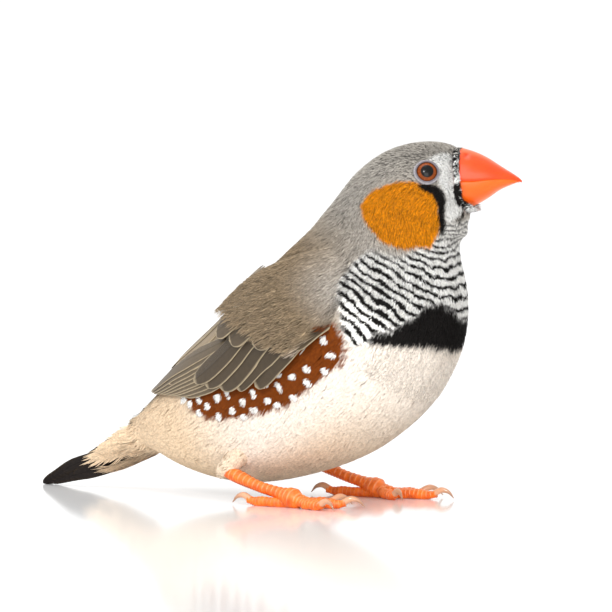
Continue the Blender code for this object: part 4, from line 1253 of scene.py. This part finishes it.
def make_tail_coat(look, material):
    """Cream feathers under the tail and round its root."""
    def shape(share, angle):
        return lay(share, 3.0 + 1.6 * ramp(np.abs(angle), 70, 40), 1.5, -0.5, 0.2, 0.0)

    def colour(share, angle, rng):
        under = ramp(np.abs(angle), 62, 14)
        tint = blend(evenly(share, look.white), look.vent, under)
        # Barbs darker at the root and a little lighter at the tip: painted shade where they lie under the
        # feathers above.
        tint = tint * streaks(rng, share, 0.08) * along_barb(0.7, 0.85, 1.0, 1.04)
        return tint, np.stack([1.0 - under, (1 - share) * TAIL_REACH / TAIL_BAR, np.full(share.shape, 0.5)],
                              axis=-1)

    def low(share, angle):
        tip = share - 0.17
        side = np.abs(angle)
        above = np.interp(tip, (0.45, 0.5, 0.6, 0.7, 0.8), (150, 125, 102, 90, 58))
        below = np.interp(tip, (0.45, 0.6, 0.7, 0.84), (156, 166, 168, 181))
        return ((side > above) & (side < below)) | (share > 0.95)

    roots = scatter(19, tail_surface, (0.61, 0.995), (-180.0, 180.0), 0.55, low, 30000)
    coat("coat_tail", material, "plumage_tail", 25, tail_surface, roots, shape, colour,
         ((0.0, 1.0), (-180.0, 180.0)), look.barb_width * 1.3, ridge=0.05, silky=True)


def limb_frames(points):
    """Side and upward direction along a line."""
    direction = unit(np.gradient(points, axis=0))
    side = unit(np.cross(direction, UPWARD))
    return side, np.cross(side, direction)


def plates(along, around, pitch, depth):
    """How far overlapping plates stand out on the front of a limb, and small pads under it."""
    phase = (along / MM / pitch) % 1.0
    step = np.where(phase < 0.85, phase / 0.85, (1.0 - phase) / 0.15)
    front = ramp(np.sin(around), -0.25, 0.5)
    pad = 0.6 * (1 - front) * (0.5 + 0.5 * np.sin(along / MM * 2 * pi / (pitch * 0.55)))
    return depth * MM * (step * front + pad)


def tube(points, radii, sides, pitch=1.0, depth=0.0):
    """A closed round limb with plates: corners, end fans, sides, and the plates passed at each corner."""
    side, above = (axis[:, None, :] for axis in limb_frames(points))
    along = np.concatenate([[0.0], np.cumsum(np.linalg.norm(np.diff(points, axis=0), axis=1))])[:, None]
    around = 2 * pi * (np.arange(sides) + 0.5) / sides
    size = radii[:, None] + plates(along, around, pitch, depth)
    ring = side * np.cos(around)[:, None] + above * np.sin(around)[:, None]
    shell = points[:, None, :] + size[..., None] * ring
    shell[..., 2] = np.maximum(shell[..., 2], 0.0)
    count = along / MM / pitch
    marks = np.stack(np.broadcast_arrays(count, np.sin(around), 0.0), axis=-1).reshape(-1, 3)
    marks = np.concatenate([marks, [(0, 0, 0), (count[-1, 0], 0, 0)]])
    return (*closed_rings(shell, points[[0, -1]]), marks)


def add_limbs(name, limbs, material, nodes):
    """Several limbs as one piece."""
    starts = np.cumsum([0] + [len(limb[0]) for limb in limbs[:-1]])
    moved = [(points, fans + start, sides + start, marks)
             for (points, fans, sides, marks), start in zip(limbs, starts)]
    *shape, marks = (np.concatenate(part) for part in zip(*moved))
    add_piece(name, shape, {"plates": marks}, material, nodes)


def resample(points, radii, spacing):
    """A smooth line with even spacing through a few points, and its radii."""
    knots = np.concatenate([[0.0], np.cumsum(np.linalg.norm(np.diff(points, axis=0), axis=1))])
    count = max(8, int(knots[-1] / (spacing * MM)))
    rows = spline(knots, np.column_stack([points, radii]), np.linspace(0.0, knots[-1], count))
    return rows[:, :3], rows[:, 3]


def digit_line(word, number):
    """The lines of one digit: its toe from inside the foot, and its claw to the tip."""
    turn = radians(DIGIT_AZIMUTHS[word][number])
    ahead = np.array([cos(turn), sin(turn), 0.0])
    base = np.array([FEET[word][0], FEET[word][1], 0.0]) * MM
    toe_reach = DIGIT_REACHES[word][number] * MM - CLAW_REACH
    heights = FRONT_TOE_HEIGHTS if number else HIND_TOE_HEIGHTS
    toe = [base + ahead * toe_reach * share + UPWARD * height * MM
           for share, height in zip(TOE_SHARES, heights)]
    claw = [base + ahead * (toe_reach + CLAW_REACH * share) + UPWARD * height * MM
            for share, height in zip(CLAW_SHARES, CLAW_HEIGHTS)]
    return np.array(toe), np.array([toe[-1] - ahead * 0.5 * MM] + claw)


def make_leg(word, skin, horn):
    """Shank, foot, toes and claws with their plates, pads and joints."""
    heel, foot = np.array(HEELS[word]) * MM, np.array(FEET[word]) * MM
    line = [heel + (foot - heel) * share - UPWARD * drop * MM for share, drop, radius in SHANK_SECTIONS]
    radii = [radius * MM for share, drop, radius in SHANK_SECTIONS]
    limbs = [tube(*resample(line, radii, 0.06), 30, SHANK_PLATE, 0.13)]
    claws = []
    start = np.array([foot[0], foot[1], 1.0 * MM])
    for number in range(4):
        toe, claw = digit_line(word, number)
        points, sizes = resample(np.concatenate([[start], toe]), TOE_RADII, 0.05)
        knuckles = 0.07 * MM * np.sin(np.linspace(0, 6 * pi, len(sizes)))
        limbs.append(tube(points, sizes + knuckles, 26, TOE_PLATE, 0.11))
        claws.append(tube(*resample(claw, CLAW_RADII, 0.1), 18))
    digits = ["%s_%d" % (word, number) for number in (1, 2, 3, 4)]
    add_limbs("leg_" + word, limbs, skin, ["shank_" + word] + ["toe_" + digit for digit in digits])
    add_limbs("claws_" + word, claws, horn, ["claw_" + digit for digit in digits])


def make_thigh(word, look, material):
    """The feathered end of the thigh: a small skin and long soft feathers over it."""
    inward = 1.0 if word == "right" else -1.0
    line = (np.array(HEELS[word]) + np.array(CUFF_SECTIONS)[:, :3] * (1.0, inward, 1.0)) * MM
    points, radii = resample(line, np.array(CUFF_SECTIONS)[:, 3] * MM, 0.2)
    knots = np.linspace(0.0, 1.0, len(points))
    rows = np.column_stack([points, *limb_frames(points), radii])

    def surface(share, angle, out=0.0):
        share, angle, out = np.broadcast_arrays(np.asarray(share, float), np.radians(angle), out)
        row = np.stack([np.interp(1.0 - share, knots, column) for column in rows.T], axis=-1)
        ring = row[..., 3:6] * np.sin(angle)[..., None] + row[..., 6:9] * np.cos(angle)[..., None]
        return row[..., 0:3] + (row[..., 9] + out)[..., None] * ring

    def shape(share, angle):
        return lay(share, 2.4, 1.5, -0.15, 0.05, 0.0)

    def colour(share, angle, rng):
        tint = blend(evenly(share, look.belly), look.vent, np.full(share.shape, 0.7))
        # Barbs darker at the root: painted shade where they lie under the feathers above.
        tint = tint * streaks(rng, share, 0.04) * along_barb(0.85, 0.93, 1.0, 1.0)
        return tint, np.zeros(share.shape + (3,))

    skin = tube(points, radii, 24)[:3]
    # The skin is the vent's cream darkened to 0.6: painted shade between the thigh's feathers.
    layers = {"tint": evenly(skin[0][:, 0], look.vent) * 0.6, "bars": np.zeros((len(skin[0]), 3))}
    add_piece("thigh_skin_" + word, skin, layers, material, ("thigh_" + word,))
    roots = scatter(41, surface, (0.02, 0.98), (-180.0, 180.0), 0.5,
                    lambda share, angle: np.full(share.shape, True), 6000)
    coat("coat_thigh_" + word, material, "plumage_body", 42, surface, roots, shape, colour,
         ((0.0, 1.0), (-180.0, 180.0)), look.barb_width * 1.3, ridge=0.04, silky=True)


def leg_material(bare):
    """Orange scaled skin, uneven, paler on top and in the seams between the plates."""
    tree, material = new_material("leg_scales", 0.42, 0.45, soft_light(0.15, (0.0008, 0.0004, 0.0002)))
    count, height = stored(tree, "plates")[:2]
    patches = stretch(tree, noise(tree, 900.0, 3.0), 0.25, 0.75, 0.0, 1.0)
    colour = mix_colours(tree, patches, toned(bare.leg, 0.62, 0.42, 0.34), bare.leg)
    top = stretch(tree, height, -0.4, 0.9, 0.0, 0.35)
    colour = mix_colours(tree, top, colour, [min(1.0, channel * 1.35 + 0.05) for channel in bare.leg])
    seam = math_node(tree, "ABSOLUTE", math_node(tree, "SUBTRACT", math_node(tree, "FRACT", count), 0.84))
    seam = math_node(tree, "MULTIPLY", stretch(tree, seam, 0.03, 0.14, 0.22, 0.0),
                     stretch(tree, height, -0.5, 0.2, 0.15, 1.0))
    colour = mix_colours(tree, seam, colour, paint(255, 214, 170))
    cells = add_node(tree, "ShaderNodeTexVoronoi", {"Scale": 2600.0}, {"Vector": own_place(tree)})
    return finished(tree, material, colour, cells.outputs["Distance"], 0.35, 0.00006)


def claw_material(bare):
    """Pale horn, darker to the tip."""
    tree, material = new_material("claw_horn", 0.28, 0.5, {"Coat Weight": 0.3})
    tip = stretch(tree, stored(tree, "plates")[0], 1.0, 4.0, 0.0, 0.75)
    colour = mix_colours(tree, tip, bare.claw, toned(bare.claw, 0.35))
    return finished(tree, material, colour, noise(tree, 1800.0), 0.15, 0.00005)


def make_bill_half(word, rows, material):
    """One half of the bill: a smooth half round shell, flat along the mouth; the upper has nostrils."""
    upper = word == "upper"
    at = np.linspace(0.0, 1.0, 90) ** 0.85
    rows = spline(np.linspace(0.0, 1.0, len(rows)), rows, at)
    ahead, top, mouth, bottom, half = np.split(rows, 5, axis=1)
    turn = np.linspace(-pi / 2, pi / 2, 61)[None, :]
    aside = half * np.sin(turn) * (1.0 if upper else 0.97)
    height = mouth + ((top if upper else bottom) - mouth) * np.cos(turn) ** 0.8
    nostril = upper * np.exp(-np.hypot((ahead - 22.3) / 0.42, (height - 55.1) / 0.34) ** 2)
    dent = 0.35 * nostril * (np.abs(aside) > 0.8)
    aside = aside * (1 - dent / np.maximum(np.abs(aside), 0.6))
    points = head_point(ahead * MM, aside * MM, height * MM)
    marks = np.stack(np.broadcast_arrays(at[:, None], np.cos(turn), nostril), axis=-1).reshape(-1, 3)
    layers = {"horn": np.concatenate([marks, [(0, 0, 0), (1, 0, 0)]])}
    add_piece("horn_" + word, closed_rings(points, points[[0, -1]].mean(1)), layers, material,
              ("bill_" + word,))


def horn_material(name, colour, edge):
    """Smooth bright horn, lighter at its root, with a painted highlight along its far edge and painted shade
    in the nostril.
    """
    finish = {"Coat Weight": 0.15, "Coat Roughness": 0.2}
    finish.update(soft_light(0.25, (0.0012, 0.0004, 0.0002)))
    tree, material = new_material(name, 0.34, 0.3, finish)
    along, crown, nostril = stored(tree, "horn")[:3]
    stain = stretch(tree, noise(tree, 330.0, 3.0), 0.3, 0.75, 0.0, 0.35)
    tone = mix_colours(tree, stain, colour, toned(colour, 0.95, 0.62, 0.5))
    # A painted highlight in the edge colour along the far edge of each half, the ridge of the upper, fading
    # towards the tip.
    crown = math_node(tree, "MULTIPLY", stretch(tree, crown, 0.80, 1.0, 0.0, 1.0),
                      stretch(tree, along, 0.0, 0.9, 0.55, 0.25))
    tone = mix_colours(tree, crown, tone, edge)
    tone = mix_colours(tree, stretch(tree, along, 0.0, 0.3, 0.30, 0.0), tone, edge)
    # Painted shade inside the nostril's opening.
    tone = mix_colours(tree, math_node(tree, "MULTIPLY", nostril, 0.5), tone, paint(120, 40, 16))
    place = add_node(tree, "ShaderNodeMapping", {"Scale": (0.35, 0.35, 1.6)}, {"Vector": own_place(tree)})
    return finished(tree, material, tone, noise(tree, 1100.0, 3.0, place.outputs["Vector"]), 0.22, 0.00012)


def eye_place(side):
    """The middle of an eye, the way it looks, and two directions across it."""
    share = np.array([EYE_SHARE])
    angle = np.array([EYE_ANGLE * side])
    normal = surface_frames(body_point, share, angle)[0][0]
    centre = body_point(share, angle)[0] - normal * EYE_DEPTH
    ahead = unit(head_point(1.0, 0.0, 0.0) - head_point(0.0, 0.0, 0.0))
    across = unit(ahead - normal * (ahead @ normal))
    return centre, normal, across, np.cross(normal, across)


def revolve(place, radii, heights, turn):
    """Rings of a profile turned about the way an eye looks."""
    centre, axis, across, upward = place
    ring = across * np.cos(turn)[:, None] + upward * np.sin(turn)[:, None]
    return centre + axis * heights[..., None] + ring * radii[..., None]


def make_eye(side, word, ball, lids):
    """The ball with its pupil and iris, and the bare ring of the lids round it."""
    place = eye_place(side)
    turn = 2 * pi * np.arange(96) / 96
    tilt = np.linspace(0.0, pi, 72)[1:-1, None]
    points = revolve(place, EYE_RADIUS * np.sin(tilt), EYE_RADIUS * np.cos(tilt), turn)
    ends = place[0] + place[1] * EYE_RADIUS * np.array([[1.0], [-1.0]])
    reach = np.where(np.cos(tilt) > 0, EYE_RADIUS * np.sin(tilt), 2 * EYE_RADIUS) / MM
    marks = np.stack(np.broadcast_arrays(reach, np.cos(turn), np.sin(turn)), axis=-1).reshape(-1, 3)
    layers = {"eye": np.concatenate([marks, [(0, 0, 0), (4, 0, 0)]])}
    add_piece("eyeball_" + word, closed_rings(points, ends), layers, ball, ("eye_" + word,))
    turn = 2 * pi * np.arange(120) / 120
    radii, heights = np.array(LID_SECTIONS).T[..., None]
    folds = 0.035 * np.sin(turn * 22) * np.interp(radii, (1.4, 1.7, 2.3), (0, 1, 0))
    corner = 1.0 + 0.05 * np.cos(turn) ** 8
    points = revolve(place, radii * corner * MM, (heights + folds) * MM, turn)
    index = np.arange(folds.size).reshape(folds.shape)
    faces = ring_quads(np.concatenate([index, index[:1]]))
    marks = np.stack(np.broadcast_arrays(radii, 0.0 * folds, 0.0), axis=-1)
    add_piece("eye_ring_" + word, (points, faces), {"ring": marks}, lids)


def eyeball_material(bare):
    """A wet eye: black pupil, orange brown iris with fine spokes and a dark rim."""
    finish = {"Coat Weight": 0.45, "Coat Roughness": 0.02, "Coat IOR": 1.33}
    tree, material = new_material("eye_wet", 0.35, 0.1, finish)
    place = stored(tree, "eye")
    radius = place[0]
    iris, pupil = bare.iris_radius / MM, bare.pupil_radius / MM
    spokes = add_node(tree, "ShaderNodeVectorMath", {1: (0.35, 9.0, 9.0)}, {0: place[3]},
                      operation="MULTIPLY")
    fibre = stretch(tree, noise(tree, 1.6, 2.0, spokes.outputs["Vector"]), 0.3, 0.7, 0.55, 1.15)
    colour = uneven(tree, bare.iris, fibre)
    inner = stretch(tree, radius, pupil, pupil + 0.3, 0.3, 0.0)
    colour = mix_colours(tree, inner, colour, toned(bare.iris, 0.35))
    rim = stretch(tree, radius, iris - 0.16, iris, 0.0, 0.6)
    colour = mix_colours(tree, rim, colour, paint(40, 22, 14))
    middle = stretch(tree, radius, pupil - 0.04, pupil + 0.04, 1.0, 0.0)
    colour = mix_colours(tree, middle, colour, (0.002, 0.002, 0.002))
    return finished(tree, material, colour, fibre, 0.05, 0.00003)


def ring_material(bare):
    """Bare, finely folded skin round the eye, whiter to its outer edge."""
    tree, material = new_material("eye_ring_skin", 0.5, 0.4)
    radius = stored(tree, "ring")[0]
    outer = stretch(tree, radius, 1.74, 1.92, 0.0, 0.7)
    colour = mix_colours(tree, outer, bare.lid, paint(176, 174, 178))
    inner = stretch(tree, radius, 1.50, 1.60, 0.85, 0.0)
    colour = mix_colours(tree, inner, colour, paint(46, 36, 34))
    colour = uneven(tree, colour, stretch(tree, noise(tree, 3000.0), 0.3, 0.7, 0.85, 1.1))
    return finished(tree, material, colour, noise(tree, 4200.0), 0.4, 0.00008)


def aimed(name, data, place, target):
    """A light or a camera at a place, turned towards a point."""
    thing = bpy.data.objects.new(name, data)
    thing.location = place
    thing.rotation_euler = (Vector(target) - Vector(place)).to_track_quat("-Z", "Y").to_euler()
    bpy.context.scene.collection.objects.link(thing)
    return thing


def area_light(name, place, size, watts):
    """A soft square light that shines at the bird."""
    light = bpy.data.lights.new(name, "AREA")
    light.shape = "SQUARE"
    light.size = size
    light.energy = watts
    aimed(name, light, place, LIGHT_TARGET)


def make_floor(size):
    """A nearly white floor."""
    corners = np.array([(-1, -1, 0), (1, -1, 0), (1, 1, 0), (-1, 1, 0)]) * size / 2
    floor = mesh_object("floor", corners + PLAN_CENTRE, np.array([(0, 1, 2, 3)]))
    tree, material = new_material("floor_white", 0.10, 0.5)
    cloud = stretch(tree, noise(tree, 3.0), 0.3, 0.7, 0.86, 0.88)
    shade = uneven(tree, (1.0, 1.0, 1.0), cloud)
    tree.links.new(shade, tree.nodes["Principled BSDF"].inputs["Base Color"])
    floor.data.materials.append(material)


def make_world(strength):
    """White light from all sides."""
    world = bpy.data.worlds.new("studio")
    world.use_nodes = True
    background = world.node_tree.nodes["Background"]
    background.inputs["Color"].default_value = (1.0, 1.0, 1.0, 1.0)
    background.inputs["Strength"].default_value = strength
    bpy.context.scene.world = world


def make_camera(stage):
    """The camera at the photograph's angle and scale."""
    azimuth, elevation = stage.azimuth, stage.elevation
    back = np.array([sin(azimuth) * cos(elevation), -cos(azimuth) * cos(elevation), sin(elevation)])
    right = np.array([cos(azimuth), sin(azimuth), 0.0])
    shift = right * PICTURE_SHIFT[0] + np.cross(back, right) * PICTURE_SHIFT[1]
    camera = bpy.data.cameras.new("camera")
    camera.sensor_width = SENSOR_WIDTH
    camera.lens = SENSOR_WIDTH * stage.distance / (PICTURE_WIDTH * PIXEL)
    camera.clip_end = 20.0
    place = -PLAN_CENTRE + back * stage.distance
    bpy.context.scene.camera = aimed("camera", camera, place, -PLAN_CENTRE + shift * PIXEL)
    bpy.context.scene.view_settings.view_transform = "Standard"


class FINCH_OT_body_plumage(bpy.types.Operator):
    """Builds the skin and the short feathers of head, breast, belly and back"""

    bl_idname = "finch.body_plumage"
    bl_label = "Body plumage"

    def execute(self, context):
        look = context.scene.finch_plumage
        material = plumage_material(look)
        for make in (make_skin, make_head_coat, make_bill_edge, make_breast_coat, make_belly_coat,
                     make_flank_spots, make_back_coat):
            make(look, material)
        return {"FINISHED"}


class FINCH_OT_wings(bpy.types.Operator):
    """Builds both folded wings"""

    bl_idname = "finch.wings"
    bl_label = "Wings"

    def execute(self, context):
        material = vane_material()
        for side, word in ((-1, "right"), (1, "left")):
            make_wing(side, word, context.scene.finch_feathers, material)
        return {"FINISHED"}


class FINCH_OT_tail(bpy.types.Operator):
    """Builds the tail feathers and the coverts round them"""

    bl_idname = "finch.tail"
    bl_label = "Tail"

    def execute(self, context):
        look = context.scene.finch_plumage
        make_tail_feathers(context.scene.finch_feathers, look, plumage_material(look))
        make_tail_coat(look, plumage_material(look))
        return {"FINISHED"}


class FINCH_OT_legs(bpy.types.Operator):
    """Builds thighs, shanks, toes and claws"""

    bl_idname = "finch.legs"
    bl_label = "Legs"

    def execute(self, context):
        look = context.scene.finch_plumage
        skin = leg_material(context.scene.finch_bare_parts)
        horn = claw_material(context.scene.finch_bare_parts)
        for word in ("right", "left"):
            make_leg(word, skin, horn)
            make_thigh(word, look, plumage_material(look))
        return {"FINISHED"}


class FINCH_OT_bill(bpy.types.Operator):
    """Builds the two halves of the bill"""

    bl_idname = "finch.bill"
    bl_label = "Bill"

    def execute(self, context):
        bare = context.scene.finch_bare_parts
        # The third colour is the paler root of each half and its painted highlight along the far edge.
        upper = horn_material("bill_upper_horn", bare.bill_upper, paint(255, 120, 70))
        lower = horn_material("bill_lower_horn", bare.bill_lower, paint(255, 124, 40))
        make_bill_half("upper", BILL_SECTIONS, upper)
        make_bill_half("lower", BILL_SECTIONS[:-1] + (LOWER_BILL_TIP,), lower)
        return {"FINISHED"}


class FINCH_OT_eyes(bpy.types.Operator):
    """Builds the eyes and the bare rings round them"""

    bl_idname = "finch.eyes"
    bl_label = "Eyes"

    def execute(self, context):
        bare = context.scene.finch_bare_parts
        ball, lids = eyeball_material(bare), ring_material(bare)
        for side, word in ((-1, "right"), (1, "left")):
            make_eye(side, word, ball, lids)
        return {"FINISHED"}


class FINCH_OT_stage(bpy.types.Operator):
    """Builds the floor, the lights and the camera"""

    bl_idname = "finch.stage"
    bl_label = "Stage"

    def execute(self, context):
        stage = context.scene.finch_stage
        make_floor(stage.floor_size)
        make_world(WORLD_STRENGTH * stage.light)
        for name, place, size, watts in LIGHTS:
            area_light(name, place, size, watts * stage.light)
        make_camera(stage)
        return {"FINISHED"}


OPERATORS = (
    FINCH_OT_stage,
    FINCH_OT_body_plumage,
    FINCH_OT_wings,
    FINCH_OT_tail,
    FINCH_OT_legs,
    FINCH_OT_bill,
    FINCH_OT_eyes,
)
GROUPS = {
    "finch_plumage": FinchPlumage,
    "finch_feathers": FinchFeathers,
    "finch_bare_parts": FinchBareParts,
    "finch_stage": FinchStage,
}


class FINCH_PT_panel(bpy.types.Panel):
    """Lists the finch's pieces and settings"""

    bl_idname = "FINCH_PT_panel"
    bl_label = "Zebra finch"
    bl_space_type = "VIEW_3D"
    bl_region_type = "UI"
    bl_category = "Finch"

    def draw(self, context):
        for operator in OPERATORS:
            self.layout.operator(operator.bl_idname)
        for name, group in GROUPS.items():
            box = self.layout.box()
            for setting in group.__annotations__:
                box.prop(getattr(context.scene, name), setting)


def register():
    """Registers the settings, the operators and the panel."""
    for name, group in GROUPS.items():
        bpy.utils.register_class(group)
        setattr(bpy.types.Scene, name, bpy.props.PointerProperty(type=group))
    for operator in OPERATORS:
        bpy.utils.register_class(operator)
    bpy.utils.register_class(FINCH_PT_panel)


def unregister():
    """Removes what register added."""
    bpy.utils.unregister_class(FINCH_PT_panel)
    for operator in reversed(OPERATORS):
        bpy.utils.unregister_class(operator)
    for name, group in GROUPS.items():
        delattr(bpy.types.Scene, name)
        bpy.utils.unregister_class(group)


def main():
    register()
    bpy.ops.finch.stage()
    bpy.ops.finch.body_plumage()
    bpy.ops.finch.wings()
    bpy.ops.finch.tail()
    bpy.ops.finch.legs()
    bpy.ops.finch.bill()
    bpy.ops.finch.eyes()


if __name__ == "__main__":
    main()
